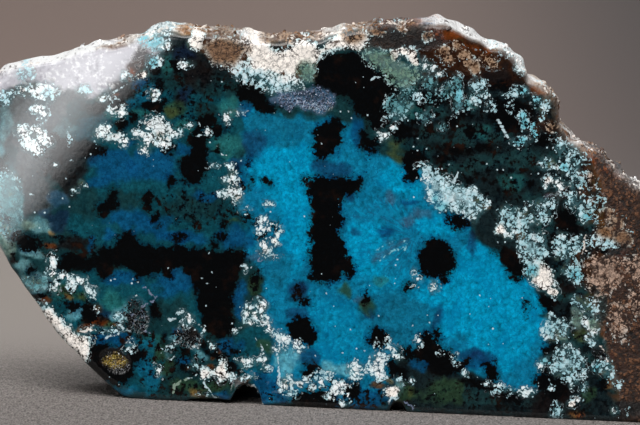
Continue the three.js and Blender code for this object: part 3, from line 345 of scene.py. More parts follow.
# Bloom: the pale popcorn of grains: a tint, how closely the grains are packed (0 to 1), and where.
BLOOM = [
    ("white", 0.6, [(42, 93, 15, 9), (36, 110, 5, 4), (43, 113, 5, 7), (22, 92, 6, 5), (24, 134, 9, 8),
      (37, 131, 6, 4), (42, 138, 6, 7), (30, 146, 9, 7), (37, 151, 5, 7), (50, 142, 4, 4), (105, 131, 8, 6),
      (116, 137, 10, 5), (124, 142, 4, 5), (98, 136, 3, 4), (112, 109, 4, 5), (119, 110, 7, 5),
      (122, 116, 5, 5), (104, 99, 5, 3), (126, 78, 4, 4), (165, 47, 5, 5), (158, 65, 4, 3), (160, 60, 3, 4),
      (154, 95, 6, 7), (155, 30, 10, 4), (150, 37, 8, 4), (162, 33, 8, 5), (158, 120, 7, 6),
      (150, 125, 8, 6), (160, 130, 11, 10), (172, 133, 9, 5), (165, 143, 7, 5), (147, 140, 5, 6),
      (145, 150, 5, 4), (135, 134, 4, 4), (143, 135, 4, 4), (197, 32, 7, 10), (255, 37, 8, 9),
      (258, 50, 11, 8), (245, 45, 5, 6), (290, 58, 14, 9), (303, 47, 10, 7), (270, 62, 6, 6),
      (236, 42, 4, 3), (303, 62, 7, 6), (242, 70, 9, 8), (258, 72, 10, 9), (268, 80, 8, 6),
      (285, 83, 14, 6), (270, 88, 9, 5), (276, 90, 6, 3), (185, 65, 6, 4), (433, 68, 4, 4), (438, 74, 4, 3),
      (424, 66, 3, 5), (390, 128, 6, 4), (384, 137, 6, 4), (379, 133, 3, 3), (418, 167, 3, 3),
      (428, 168, 3, 3), (426, 178, 5, 6), (433, 180, 5, 5), (440, 184, 4, 5), (447, 180, 5, 5),
      (443, 190, 5, 4), (452, 188, 4, 4), (430, 190, 4, 3), (434, 197, 5, 6), (451, 200, 5, 5),
      (457, 207, 5, 5), (467, 197, 6, 7), (463, 209, 5, 5), (470, 190, 5, 4), (466, 213, 4, 4),
      (472, 216, 3, 4), (473, 190, 4, 4), (478, 203, 7, 5), (485, 202, 4, 4), (473, 214, 4, 6),
      (541, 167, 3, 3), (551, 165, 4, 4), (556, 167, 3, 3), (563, 150, 4, 4), (570, 153, 4, 3),
      (578, 157, 4, 6), (573, 163, 5, 4), (545, 186, 4, 4), (552, 183, 4, 4), (559, 186, 4, 8),
      (590, 178, 3, 5), (590, 187, 5, 3), [(570, 168), (580, 166), (585, 172), (585, 185), (580, 190),
      (572, 188), (568, 180)], (545, 215, 7, 6), (505, 215, 4, 7), (512, 225, 6, 6), (520, 222, 7, 6),
      (525, 215, 3, 5), (533, 222, 3, 3), (530, 240, 7, 9), (540, 237, 5, 5), (532, 250, 8, 6),
      (527, 258, 6, 5), (540, 252, 7, 5), (507, 233, 5, 4), (540, 275, 12, 11), (545, 284, 9, 6),
      (562, 237, 4, 3), (558, 243, 6, 5), (565, 247, 6, 6), (570, 252, 5, 5), (553, 252, 6, 3),
      (575, 240, 6, 5), (567, 262, 4, 8), (556, 235, 2, 2), (586, 200, 5, 6), [(566, 200), (575, 196),
      (578, 203), (573, 212), (567, 208)], (584, 212, 4, 7), (580, 222, 3, 3), [(590, 200), (600, 197),
      (605, 203), (600, 212), (594, 213)], (590, 282, 3, 1.5), (582, 302, 6, 4), (583, 310, 4, 3),
      (585, 319, 6, 6), (592, 326, 6, 8), [(550, 314), (554, 318), (556, 322), (559, 326), (558, 332),
      (556, 337), (548, 338), (541, 335), (541, 328), (545, 325), (546, 319)], [(557, 349), (562, 343),
      (570, 343), (572, 348), (568, 352), (566, 358), (572, 361), (566, 365), (560, 357)], [(550, 370),
      (554, 365), (558, 361), (568, 363), (575, 362), (582, 362), (586, 370), (582, 377), (574, 381),
      (570, 388), (567, 386), (566, 380), (560, 378), (552, 375), (548, 373)], (575, 398, 4, 3),
      (553, 412, 3, 5), (550, 388, 3, 2), (585, 354, 2, 2), (538, 366, 3, 3), [(515, 394), (518, 389),
      (524, 385), (530, 388), (536, 387), (533, 391), (527, 395), (518, 396)], [(491, 386), (495, 383),
      (500, 380), (502, 383), (497, 386), (493, 388)], (487, 382, 2, 1.5), (417, 341, 2.5, 4), [(392, 354),
      (397, 351), (402, 357), (397, 359)], (390, 348, 5, 2), (386, 338, 2, 4), (376, 343, 2, 2),
      (438, 353, 2, 2), (449, 355, 2, 2), (464, 372, 2, 3), (411, 380, 1.5, 2), [(362, 366), (370, 362),
      (374, 353), (380, 350), (386, 354), (386, 362), (384, 370), (384, 378), (379, 382), (374, 376),
      (370, 372), (362, 372)], [(348, 362), (354, 360), (360, 362), (362, 368), (360, 376), (354, 379),
      (350, 374)], [(322, 372), (326, 368), (332, 372), (334, 378), (329, 380), (324, 380)],
      (338, 386, 6, 6), (332, 391, 6, 4), (345, 383, 6, 3), (330, 398, 5, 2), (341, 403, 3, 3),
      (346, 395, 2, 4), (312, 385, 3, 3), (320, 382, 4, 3), (300, 382, 6, 4), [(278, 380), (281, 377),
      (290, 376), (296, 380), (294, 386), (290, 389), (284, 391), (279, 389)], [(274, 333), (280, 331),
      (286, 333), (290, 337), (288, 343), (284, 347), (278, 351), (272, 351), (272, 347), (277, 344),
      (275, 339)], (294, 342, 5, 4), (298, 347, 4, 2), (249, 306, 4, 3), (247, 313, 4, 4), (261, 305, 5, 6),
      (255, 313, 3, 4), (249, 322, 4, 3), (256, 317, 3, 3), (262, 314, 3, 4), (262, 322, 4, 3),
      (268, 320, 3, 4), (270, 328, 4, 4), (257, 298, 1.5, 1.5), [(237, 360), (241, 357), (248, 355),
      (252, 358), (258, 357), (262, 360), (256, 362), (248, 363), (246, 367), (242, 368), (240, 363)],
      [(261, 350), (264, 352), (268, 358), (264, 359), (261, 355)], (245, 376, 5, 2), [(222, 370),
      (230, 372), (236, 374), (238, 378), (230, 380), (224, 381), (220, 383), (218, 379)],
      (212, 346, 2.5, 4), (234, 331, 2, 2), (189, 318, 4, 3, 50), (183, 327, 2, 4, 30), (203, 331, 1.5, 3),
      (182, 312, 2, 1.5), (195, 345, 3, 4), (267, 366, 2, 1.5), (226, 120, 3, 4), (207, 132, 3, 3),
      (192, 125, 3, 1.5), (236, 113, 4, 2), (152, 143, 4, 2), (160, 143, 5, 3), [(226, 165), (235, 165),
      (236, 172), (238, 178), (240, 185), (242, 195), (241, 203), (237, 204), (232, 198), (226, 198),
      (221, 196), (217, 192), (222, 191), (229, 186), (225, 182), (222, 180), (230, 174), (228, 170)],
      (269, 204, 4, 3), (245, 211, 3, 1.5), (263, 221, 5, 4), (260, 230, 4, 4), (266, 228, 4, 4),
      (272, 224, 3, 2), (262, 243, 4, 6), (266, 250, 4, 5), (213, 166, 3, 1.5), (245, 268, 2, 3),
      (53, 262, 4, 9), (55, 285, 5, 7), (63, 276, 5, 3), [(66, 275), (72, 274), (78, 280), (76, 287),
      (72, 291), (68, 288), (67, 282)], (52, 274, 5, 4), (80, 280, 5, 4), [(84, 281), (88, 287), (94, 288),
      (98, 291), (96, 296), (92, 298), (88, 295), (85, 290)], (97, 308, 3, 3), [(124, 350), (128, 346),
      (131, 341), (134, 338), (136, 342), (137, 347), (133, 350), (128, 352)], (158, 370, 3, 5, -30),
      (56, 165, 2, 2), (83, 185, 2, 2), (75, 192, 2, 1.5), (494, 48, 5, 5), (508, 54, 7, 6),
      (520, 68, 6, 7), (544, 84, 8, 5, 40), (554, 94, 4, 5), (613, 410, 4, 4), (433, 284, 3.5, 5.5),
      (414, 272, 2.5, 3), (417, 279, 3, 2), (414, 285, 2, 2), (412, 287, 2, 1)]),
    ("cream", 0.8, [(195, 45, 7, 6), (393, 57, 6, 6), (405, 52, 7, 4), (412, 58, 4, 5), (415, 65, 4, 5),
      (546, 180, 4, 3), [(281, 227), (282, 231), (278, 238), (280, 242), (274, 243), (270, 239), (275, 236),
      (278, 229)], [(313, 62), (315, 52), (322, 48), (325, 42), (335, 38), (342, 27), (352, 27), (357, 33),
      (365, 38), (367, 45), (360, 55), (350, 50), (338, 50), (330, 52), (322, 58)], [(200, 367), (207, 368),
      (213, 370), (218, 364), (220, 358), (219, 354), (223, 356), (226, 366), (228, 372), (224, 378),
      (218, 377), (212, 373), (208, 378), (205, 380), (201, 375)], [(30, 299), (36, 302), (43, 303),
      (50, 305), (55, 310), (58, 315), (62, 320), (68, 324), (72, 330), (78, 333), (90, 336), (92, 342),
      (91, 348), (89, 355), (86, 362), (78, 357), (64, 342), (48, 322), (34, 306)], (143, 75, 7, 3, -30),
      (480, 62, 6, 3), (466, 62, 5, 4), (552, 292, 6, 5), (500, 228, 5, 5), (392, 390, 7, 5),
      (201, 396, 5, 2), (535, 265, 7, 5), (570, 403, 4, 3), (90, 328, 5, 2)]),
    ("cream", 1, [[(246, 28), (262, 26), (264, 42), (274, 52), (290, 50), (302, 44), (316, 44), (318, 56),
      (308, 70), (292, 78), (278, 76), (262, 72), (250, 64), (246, 48)], [(527, 262), (540, 258),
      (548, 268), (552, 280), (548, 288), (538, 284), (530, 276)], [(187, 26), (202, 24), (204, 40),
      (198, 50), (190, 44), (192, 34)]]),
    ("rose", 0.25, [[(578, 262), (590, 254), (600, 250), (612, 254), (628, 256), (645, 250), (662, 262),
      (655, 282), (640, 288), (626, 284), (612, 292), (600, 300), (590, 292), (582, 276)],
      (617, 318, 12, 22), (635, 300, 10, 18), (611, 308, 5, 4), (631, 303, 4, 4), (625, 321, 5, 4),
      (613, 329, 4, 4), (625, 341, 4, 3), (590, 180, 4, 8)]),
    ("tan", 0.5, [(443, 52, 7, 5), (449, 60, 6, 5), (455, 46, 6, 5), (464, 55, 8, 6), (467, 64, 6, 5),
      (474, 69, 6, 6), (487, 62, 7, 5), (492, 67, 6, 4), (480, 56, 5, 4), (551, 127, 9, 5),
      (562, 131, 5, 4), (606, 214, 9, 7), (598, 206, 5, 5), (617, 224, 7, 7), (352, 36, 10, 8),
      (268, 40, 9, 5), (285, 42, 8, 4)]),
    ("hazel", 0.7, [BROWN_OVAL, (376, 34, 8, 4), (404, 31, 7, 4), (428, 38, 6, 4), (228, 32, 14, 4),
      (604, 232, 10, 8), (622, 238, 10, 7)]),
    ("fern", 0.35, [[(358, 53), (370, 50), (384, 52), (392, 57), (398, 64), (408, 66), (420, 72), (422, 80),
      (410, 86), (398, 90), (388, 84), (380, 75), (370, 67), (362, 60)], (306, 72, 8, 10), (575, 318, 5, 7),
      (592, 322, 4, 6)]),
    ("lichen", 0.25, [(6, 205, 16, 32), (36, 283, 16, 7), [(385, 100), (392, 94), (402, 90), (412, 88),
      (418, 94), (414, 104), (408, 112), (398, 118), (388, 116), (382, 110)], (428, 84, 7, 7),
      (430, 97, 6, 10), (447, 92, 6, 10, 40), (457, 84, 4, 9), (455, 104, 4, 10), (476, 88, 6, 9),
      (470, 102, 5, 10, 30), (424, 118, 6, 5), (443, 128, 5, 4)]),
    ("frost", 0.3, [[(567, 158), (574, 152), (584, 154), (588, 164), (586, 176), (588, 186), (580, 191),
      (570, 188), (566, 178), (564, 168)], [(577, 196), (584, 192), (590, 198), (598, 195), (606, 200),
      (605, 208), (597, 212), (593, 220), (586, 224), (579, 220), (576, 208)], [(566, 196), (574, 192),
      (580, 198), (578, 208), (570, 213), (565, 206)], [(534, 206), (542, 200), (552, 198), (556, 206),
      (548, 216), (542, 224), (534, 220)], [(497, 212), (506, 207), (516, 210), (526, 212), (536, 218),
      (532, 226), (526, 233), (516, 234), (506, 228), (498, 222)], [(516, 234), (526, 232), (538, 234),
      (546, 242), (546, 254), (540, 264), (530, 268), (522, 262), (516, 250)], [(548, 240), (556, 234),
      (566, 238), (578, 236), (584, 244), (580, 254), (570, 260), (558, 258), (548, 252)], [(564, 256),
      (574, 254), (580, 262), (578, 272), (570, 280), (562, 272)], [(545, 316), (552, 312), (562, 318),
      (570, 326), (566, 336), (556, 340), (546, 338), (540, 330)], [(548, 366), (556, 348), (566, 343),
      (578, 350), (584, 362), (582, 376), (572, 382), (560, 380), (550, 376)], [(596, 358), (604, 354),
      (612, 366), (618, 380), (612, 388), (602, 378)], (562, 150, 8, 6), (547, 164, 7, 6),
      (500, 390, 10, 4), (555, 411, 5, 8), (577, 304, 8, 7), (592, 308, 6, 8)]),
    ("ice", 0.48, [[(231, 70), (240, 66), (252, 70), (262, 74), (272, 80), (286, 84), (300, 88), (298, 94),
      (284, 94), (268, 94), (256, 88), (242, 84), (234, 78)], [(419, 166), (430, 165), (438, 172),
      (448, 178), (456, 183), (466, 186), (476, 192), (487, 200), (488, 208), (480, 214), (474, 220),
      (466, 216), (456, 211), (446, 208), (436, 202), (428, 198), (424, 188), (420, 176)], (25, 75, 8, 7),
      (48, 98, 6, 7), (5, 100, 7, 6), (84, 92, 6, 5), (70, 138, 3, 5), (510, 95, 7, 3), (478, 87, 8, 6),
      (474, 100, 5, 6), (515, 92, 4, 4), (545, 106, 6, 6), (541, 118, 3, 5), (490, 108, 5, 5),
      (485, 96, 4, 5), (540, 204, 8, 3), (553, 203, 3, 6), (392, 118, 6, 3), [(585, 240), (592, 235),
      (600, 237), (610, 240), (617, 247), (608, 249), (596, 248), (588, 246)], [(571, 275), (580, 274),
      (584, 279), (580, 284), (574, 284)], (602, 367, 7, 5), (612, 376, 2, 3), (617, 383, 3, 4),
      (583, 386, 4, 5), (590, 341, 6, 5), (292, 393, 6, 4), (320, 374, 6, 5), (312, 378, 4, 3),
      (43, 306, 8, 4), (112, 330, 9, 2), (170, 346, 5, 2, -30), (178, 342, 5, 2), (168, 353, 2, 3),
      (194, 364, 4, 5), (120, 318, 6, 6), (454, 359, 3, 4), (627, 410, 2, 3), (272, 257, 4, 1.5),
      (508, 108, 4, 3), (558, 143, 6, 3), (284, 345, 4, 3), (398, 380, 4, 6), (416, 98, 6, 5),
      (399, 118, 8, 3)]),
    ("aqua", 0.5, [(152, 62, 6, 6), (145, 43, 5, 5), (155, 43, 9, 6), (440, 206, 6, 4), (434, 199, 4, 4),
      (535, 103, 4, 6), (522, 92, 5, 4), (522, 117, 5, 4), (524, 125, 4, 5), (534, 129, 4, 7),
      (520, 142, 7, 4), (535, 137, 3, 4), (587, 216, 5, 5), (575, 275, 6, 6), (530, 270, 6, 6),
      (563, 167, 4, 4), (457, 95, 4, 9), (545, 360, 5, 4), (596, 367, 4, 4)]),
]

# How far the drawing's edges waver, each as how far and over what length, in millimetres.
BROAD_WAVER = [(0.42, 2.4), (0.26, 0.9), (0.1, 0.45)]
CLOSE_WAVER = [(0.16, 0.9), (0.1, 0.45)]
VEIN_WAVER = [(0.34, 1.3), (0.2, 0.5)]
FAN_WAVER = [(0.4, 2.5)]
FAR_OUTSIDE = -9.0  # a depth for where nothing is near
WIDE_PATCH = 12  # tenths of a millimetre: a wider patch frays no more than one of this half width
DOT_RADIUS = 1.1  # tenths of a millimetre

# Round these grains the ground is brown.
WARM = ("tan", "hazel", "rose")

# Veins: the fine pale threads, each a tint, a half width and a line.
VEINS = [
    ("ice", 1, [(108, 88), (115, 95), (117, 102)]), ("ice", 1, [(112, 93), (120, 91), (129, 84)]),
    ("ice", 0.8, [(188, 132), (195, 136), (202, 138)]),
    ("ice", 1, [(370, 82), (374, 79), (380, 78.5), (385, 80)]),
    ("lilac", 1.2, [(140, 287), (148, 292), (156, 296), (153, 301), (147, 300), (143, 308), (144, 315),
      (147, 322), (145, 328), (149, 332)]),
    ("ice", 0.8, [(126, 299), (134, 294)]), ("lilac", 0.8, [(128, 312), (134, 318), (140, 315)]),
    ("lilac", 0.8, [(131, 326), (138, 322), (146, 329)]),
    ("ice", 0.8, [(122, 322), (127, 327), (120, 330), (108, 337)]),
    ("ice", 0.9, [(168, 315), (172, 320), (176, 320), (179, 325), (183, 322)]),
    ("ice", 1.2, [(167, 347), (173, 344), (180, 341), (186, 336)]), ("ice", 0.8, [(170, 358), (178, 357)]),
    ("sage", 1.3, [(173, 392), (175, 384), (182, 379), (189, 376)]),
    ("ice", 1.2, [(204, 383), (206, 390), (212, 395), (218, 396)]),
    ("ice", 1.6, [(250, 382), (256, 390), (259, 398), (264, 404)]),
    ("ice", 1.2, [(276, 352), (277, 362), (278, 372), (276, 385)]),
    ("ice", 0.8, [(257, 337), (262, 343), (262, 350)]),
    ("slate", 0.8, [(268, 370), (270, 378), (266, 384), (269, 390), (276, 391)]),
    ("cream", 1, [(585, 235), (582, 245), (578, 252)]), ("cream", 1, [(582, 245), (590, 250)]),
    ("ice", 1.2, [(452, 182), (458, 171)]), ("cream", 1.3, [(597, 348), (602, 352), (606, 358)]),
    ("cream", 1, [(581, 190), (579, 197)]), ("ice", 0.9, [(30, 194), (35, 196)]),
    ("ice", 0.9, [(70, 160), (76, 159)]), ("ice", 0.9, [(213, 148), (217, 150)]),
    ("ice", 0.9, [(218, 158), (225, 159)]), ("ice", 0.8, [(187, 372), (192, 376), (198, 372)]),
    ("ice", 1.2, [(390, 403), (393, 398), (397, 399)]), ("lilac", 1.2, [(403, 403), (413, 409)]),
    ("lilac", 0.8, [(260, 261), (256, 259), (259, 256), (263, 259)]),
    ("ice", 0.8, [(537, 387), (539, 382)]), ("cream", 0.9, [(80, 332), (88, 331), (95, 328)]),
    ("ice", 0.8, [(83, 277), (88, 288), (98, 291)]), ("aqua", 0.8, [(405, 246), (392, 252), (378, 262)]),
    ("aqua", 0.6, [(405, 242), (390, 243), (376, 250)]),
    ("azure", 1.2, [(372, 215), (385, 212), (398, 217), (406, 228)]),
    ("ice", 0.7, [(548, 301), (551, 307)]),
]

# The rind's colour by how far along the drawing it lies, over the top and down the right.
RIND = [
    (-30, "white"), (60, "white"), (104, "white"), (112, "cream"), (120, "brown"), (128, "cream"),
    (140, "cream"), (152, "ice"), (166, "ice"), (174, "cream"), (186, "amber"), (198, "tan"),
    (210, "hazel"), (236, "hazel"), (246, "white"), (258, "white"), (267, "hazel"), (298, "hazel"),
    (310, "tan"), (322, "cream"), (345, "white"), (358, "tan"), (368, "hazel"), (392, "brown"),
    (410, "hazel"), (424, "white"), (475, "white"), (505, "white"), (530, "white"), (546, "tan"),
    (560, "brown"), (575, "white"), (592, "rose"), (606, "brown"), (640, "white"), (680, "rose"),
    (705, "tan"), (725, "brown"), (750, "brown"),
]
# The rind's colour where it meets the face, inside that.
INNER_RIND = [
    (-30, "white"), (104, "milk"), (118, "brown"), (134, "sage"), (150, "sage"), (166, "ice"),
    (178, "amber"), (190, "brown"), (206, "hazel"), (236, "brown"), (250, "cream"), (262, "white"),
    (274, "brown"), (296, "tan"), (312, "cream"), (350, "white"), (364, "brown"), (384, "bark"),
    (404, "hazel"), (428, "brown"), (446, "rust"), (470, "amber"), (486, "tan"), (502, "amber"),
    (524, "brown"), (540, "amber"), (556, "rust"), (576, "rose"), (596, "rust"), (614, "amber"),
    (628, "rust"), (650, "brown"), (750, "brown"),
]
# Rind that laps onto the face.
LAPS = [
    [(415, 20), (430, 19), (445, 23), (462, 31), (480, 40), (490, 44), (502, 50), (512, 60), (521, 70),
    (534, 80), (546, 90), (556, 100), (564, 106), (575, 80), (520, 30), (440, 0), (410, 5)], [(560, 124),
    (568, 124), (572, 132), (588, 143), (602, 153), (622, 168), (640, 184), (700, 240), (728, 300),
    (760, 300), (720, 200), (600, 130), (575, 115)], [(150, 31), (172, 29), (200, 29), (240, 34), (262, 37),
    (318, 38), (326, 33), (338, 31), (368, 29), (400, 25), (415, 22), (410, 5), (330, 10), (240, 15),
    (150, 10)],
]

# The long pocket lined with quartz, and the round ones.
DRUSE = [
    [(272, 92), (285, 90), (300, 92), (312, 88), (322, 92), (336, 98), (336, 110), (322, 116), (310, 108),
    (290, 108), (276, 102)],
]
GOLD_POCKET = [
    [(106, 357), (112, 353), (118, 353), (124, 357), (127, 362), (122, 368), (115, 370), (107, 367),
    (103, 362)],
]

# Milky opal under the upper left rim: smooth, without the pebbled ground.
MILK = [
    [(-40, 40), (0, 50), (60, 34), (100, 24), (135, 18), (156, 26), (164, 48), (152, 66), (132, 78),
    (112, 86), (84, 94), (56, 92), (30, 86), (0, 102), (-40, 112)],
]

# How much dirt and how many pores the rind has, by how far along the drawing it lies.
DIRT = [(-30, 0.1), (104, 0.1), (116, 1), (404, 1), (416, 0.3), (560, 0.4), (590, 0.9), (750, 1)]

# Strokes of blue that spread from one point like a brush.
SWIRL = [(384, 238, 42, 46)]
FAN_MIDDLE = (410, 238)
FAN_REACH = 4.0  # millimetres from the middle where a stroke has its plain width
FAN_SQUEEZE = 0.22

# Bare brown wood, porous and dull.
WOOD = [
    [(572, 132), (588, 138), (604, 150), (640, 176), (780, 300), (760, 440), (622, 440), (618, 385),
    (606, 356), (600, 326), (594, 292), (590, 264), (614, 246), (606, 222), (602, 190), (592, 160)],
    [(203, 50), (208, 43), (220, 39), (230, 42), (240, 46), (248, 50), (243, 58), (236, 66), (222, 67),
    (212, 64), (206, 56)], BARK_LUMP,
]

# Lone grains: tiny white dots.
DOTS = [
    (152, 130), (66, 179), (91, 155), (63, 199), (70, 207), (35, 213), (45, 213), (40, 228), (209, 253),
    (212, 272), (202, 278), (207, 283), (168, 268), (251, 267), (348, 112), (340, 112), (351, 119),
    (395, 90), (417, 139), (456, 127), (367, 116), (417, 151), (413, 147), (426, 149), (413, 169),
    (416, 178), (441, 169), (448, 165), (413, 197), (397, 259), (395, 265), (321, 144), (496, 170),
    (502, 170), (510, 178), (537, 174), (546, 148), (552, 148), (486, 164), (497, 242), (504, 242),
    (111, 280), (115, 279), (132, 283), (133, 279), (138, 282), (326, 293), (350, 329), (356, 348),
    (364, 350), (342, 352), (315, 355), (378, 315), (412, 325), (429, 322), (606, 323), (479, 295),
    (492, 328), (222, 83), (237, 82), (221, 67), (210, 143), (241, 161), (270, 212), (162, 148), (199, 324),
    (195, 329), (304, 216), (241, 327), (376, 337), (232, 323), (206, 305),
]
# A short pale streak, as two lines of dots.
STREAK = [
    (496, 121), (498, 124), (500, 127), (501, 130), (503, 133), (506, 136), (504, 137), (508, 144),
    (498, 121), (500, 124), (502, 127), (503, 130), (505, 133), (507, 138),
]


# ================================ the stone's shape ================================
def smooth(t):
    return t * t * (3 - 2 * t)


def ramped(value, low, high):
    return smooth(np.clip((value - low) / (high - low), 0, 1))


def turned(points, angle):
    c, s = math.cos(angle), math.sin(angle)
    x, y = points[..., 0], points[..., 1]
    return np.stack([c * x - s * y, s * x + c * y], -1)


def level(points):
    """Points of the drawing, in millimetres, with the foot turned level and its left end at zero."""
    return turned(np.asarray(points, float) - FOOT_LEFT, FOOT_SLOPE)


def drawn(points):
    """Back from the level frame to the drawing, in tenths of a millimetre, y down."""
    places = turned(points, -FOOT_SLOPE) + FOOT_LEFT
    return np.stack([places[..., 0], DRAWING_TOP - places[..., 1]], -1) * 10


def splined(points):
    """The rounded line through the points, with SPLINE_STEPS to each piece."""
    padded = np.vstack([points[:1], points, points[-1:]])
    line = []
    for i in range(len(points) - 1):
        p0, p1, p2, p3 = padded[i:i + 4]
        v0, v1 = (p2 - p0) / 2, (p3 - p1) / 2
        for step in range(SPLINE_STEPS):
            t = step / SPLINE_STEPS
            cubed, squared = 2 * p1 - 2 * p2 + v0 + v1, 3 * p2 - 3 * p1 - 2 * v0 - v1
            line.append(cubed * t**3 + squared * t**2 + v0 * t + p1)
    return np.array([*line, points[-1]])


def spaced(line, count):
    """Points at even steps along a line, without its last."""
    lengths = np.concatenate([[0], np.cumsum(np.linalg.norm(np.diff(line, axis=0), axis=1))])
    wanted = np.linspace(0, lengths[-1], count + 1)[:-1]
    return np.stack([np.interp(wanted, lengths, line[:, k]) for k in range(2)], -1)


def rim_loop():
    points = level(RIGHT_SIDE + TOP_SIDE + LEFT_SIDE)
    line = splined(points)
    top_right = SPLINE_STEPS * (len(RIGHT_SIDE) - 1)
    top_left = SPLINE_STEPS * (len(RIGHT_SIDE) + len(TOP_SIDE))
    foot = level([FOOT_LEFT, FOOT_RIGHT])
    runs = [foot, line[:top_right + 1], line[top_right:top_left + 1], line[top_left:]]
    return np.vstack([spaced(run, RIM_STEPS) for run in runs])


def blurred(values, reach, step):
    half = round(reach / step)
    return sum(np.roll(values, -k, axis=0) for k in range(-half, half + 1)) / (2 * half + 1)


def hollow_depth(points, hollows=HOLLOWS):
    depth = np.zeros(len(points))
    for x, y, rx, ry, turn, deep in hollows:
        away = turned(points - level((x, y)), -math.radians(turn))
        q = np.hypot(away[:, 0] / rx, away[:, 1] / ry)
        depth += deep * np.clip(1 - q * q, 0, 1) ** 2
    return depth


def front_y(points):
    past = turned(points - level(ROLL_LINE), -ROLL_TOWARDS)[:, 0]
    roll = np.maximum(0, past / ROLL_WIDTH)
    crown = ((points - CROWN_MIDDLE) ** 2).sum(1) / CROWN_REACH**2
    plane = -FOOT_DEPTH / 2 + math.tan(FACE_LEAN) * points[:, 1]
    return plane + ROLL_DROP * roll**2 + CROWN * crown + hollow_depth(points)


def back_y(points):
    return FOOT_DEPTH / 2 - math.tan(BACK_LEAN) * points[:, 1]


def noise(points, size, seed):
    """Random values from -1 to 1 that change smoothly over lengths of size."""
    table = np.random.default_rng(seed).uniform(-1, 1, NOISE_TABLE)
    wide, high = NOISE_TABLE
    place = points / size
    corner = np.floor(place).astype(int)
    fx, fy = smooth(place - corner).T
    i, j = corner[:, 0] % wide, corner[:, 1] % high
    i2, j2 = (i + 1) % wide, (j + 1) % high
    below = table[i, j] * (1 - fx) + table[i2, j] * fx
    above = table[i, j2] * (1 - fx) + table[i2, j2] * fx
    return below * (1 - fy) + above * fy


def chipped(places):
    """The stone lifted over the chips in the foot's front edge."""
    roof = np.zeros(len(places))
    for middle, half, high, deep in CHIPS:
        across = np.abs(places[:, 0] - middle) / half
        inwards = (places[:, 1] + FOOT_DEPTH / 2) / deep
        dome = np.sqrt(np.clip(1 - across**2, 0, 1))
        dome *= np.sqrt(np.clip(1 - np.maximum(0, inwards) ** 2, 0, 1))
        roof = np.maximum(roof, np.where((across < 1) & (inwards < 1), high * dome, 0))
    reach = np.clip(1 - places[:, 2] / NOTCH_REACH, 0, 1)
    places[:, 2] += roof * reach**2
    return places


def contains(loop, points):
    inside = np.zeros(len(points), bool)
    x, y = points.T
    for (ax, ay), (bx, by) in zip(loop, np.roll(loop, -1, axis=0)):
        if ay != by:
            crosses = ((ay > y) != (by > y)) & (x < (bx - ax) * (y - ay) / (by - ay) + ax)
            inside ^= crosses
    return inside


def filled(loop, step):
    """An even grid of points inside the loop, and the triangles that join them to it."""
    low, high = loop.min(0), loop.max(0)
    rows = np.arange(low[1], high[1], step * math.sqrt(0.75))
    columns = np.arange(low[0], high[0], step)
    x, y = np.meshgrid(columns, rows)
    x[1::2] += step / 2
    grid = np.stack([x.ravel(), y.ravel()], -1)
    grid = grid[contains(loop, grid)]
    clear = np.ones(len(grid), bool)
    for point in loop:
        clear &= ((grid - point) ** 2).sum(1) > (0.55 * step) ** 2
    grid = grid[clear]
    corners = [Vector(p) for p in np.vstack([loop, grid])]
    result = delaunay_2d_cdt(corners, [], [list(range(len(loop)))], 1, 1e-7)
    triangles = np.array(result[2])
    source = np.array([original[0] for original in result[3]])
    return grid, source[triangles]


def rim_rows(loop):
    """The rows of the rim from the front edge to the back edge, and the loops that they start from."""
    step = np.linalg.norm(np.roll(loop, -1, axis=0) - loop, axis=1).sum() / len(loop)
    names = ["foot"] * (RIM_STEPS + 1) + ["right"] * (RIM_STEPS - 1) + ["top"] * (RIM_STEPS + 1)
    names += ["left"] * (RIM_STEPS - 1)
    front, back, lump = blurred(np.array([SIDES[name] for name in names], float), SIDE_BLUR, step).T
    soft = blurred(loop, INSET_BLUR, step)
    along = np.roll(soft, -1, axis=0) - np.roll(soft, 1, axis=0)
    along /= np.linalg.norm(along, axis=1)[:, None]
    out = np.stack([along[:, 1], -along[:, 0]], -1)
    front_inset = soft - out * front[:, None]
    back_inset = soft - out * back[:, None]
    y_front, y_back = front_y(front_inset), back_y(back_inset)
    length = np.arange(len(loop)) * step
    last = 2 * ARC_ROWS + SIDE_ROWS
    rows = []
    for row in range(last + 1):
        from_back = last - row
        if row <= ARC_ROWS:
            angle = math.pi / 2 * row / ARC_ROWS
            inset, share = front_inset, 1 - math.sin(angle)
            y = y_front + front * (1 - math.cos(angle))
        elif from_back <= ARC_ROWS:
            angle = math.pi / 2 * from_back / ARC_ROWS
            inset, share = back_inset, 1 - math.sin(angle)
            y = y_back - back * (1 - math.cos(angle))
        else:
            inset, share = loop, 0
            across = (row - ARC_ROWS) / SIDE_ROWS
            y = (y_front + front) * (1 - across) + (y_back - back) * across
        place = loop * (1 - share) + inset * share
        grown = smooth(np.clip(place[:, 1] / LUMPS_START, 0, 1)) * (1 - share)
        lumps = sum(part * np.sin(around * length + slant * y + start)
                    for part, around, slant, start in LUMP_WAVES)
        place = place + out * (lump * grown * lumps)[:, None]
        skin = np.stack([length, y * 0.45], -1)
        eaten = 0.5 + 0.3 * noise(skin, 1.1, 5) + 0.2 * noise(skin, 0.5, 6)
        ragged = np.clip(lump / SIDES["right"][2], 0.25, 1)
        place = place - out * (RIND_PITS * ragged * grown * eaten)[:, None]
        rows.append(np.stack([place[:, 0], y, place[:, 1]], -1))
    rows = np.array(rows)
    rows[:, :, 2] = np.maximum(0, rows[:, :, 2])
    return rows, front_inset, back_inset


# ================================ the markings ================================
def outline_depth(outline, points):
    """How far each point lies inside an outline, in millimetres, below zero outside it."""
    loop = np.array(outline, float)
    nearest = np.full(len(points), 1e9)
    for a, b in zip(loop, np.roll(loop, -1, axis=0)):
        nearest = np.minimum(nearest, line_distance(a, b, points))
    return np.where(contains(loop, points), nearest, -nearest) / 10


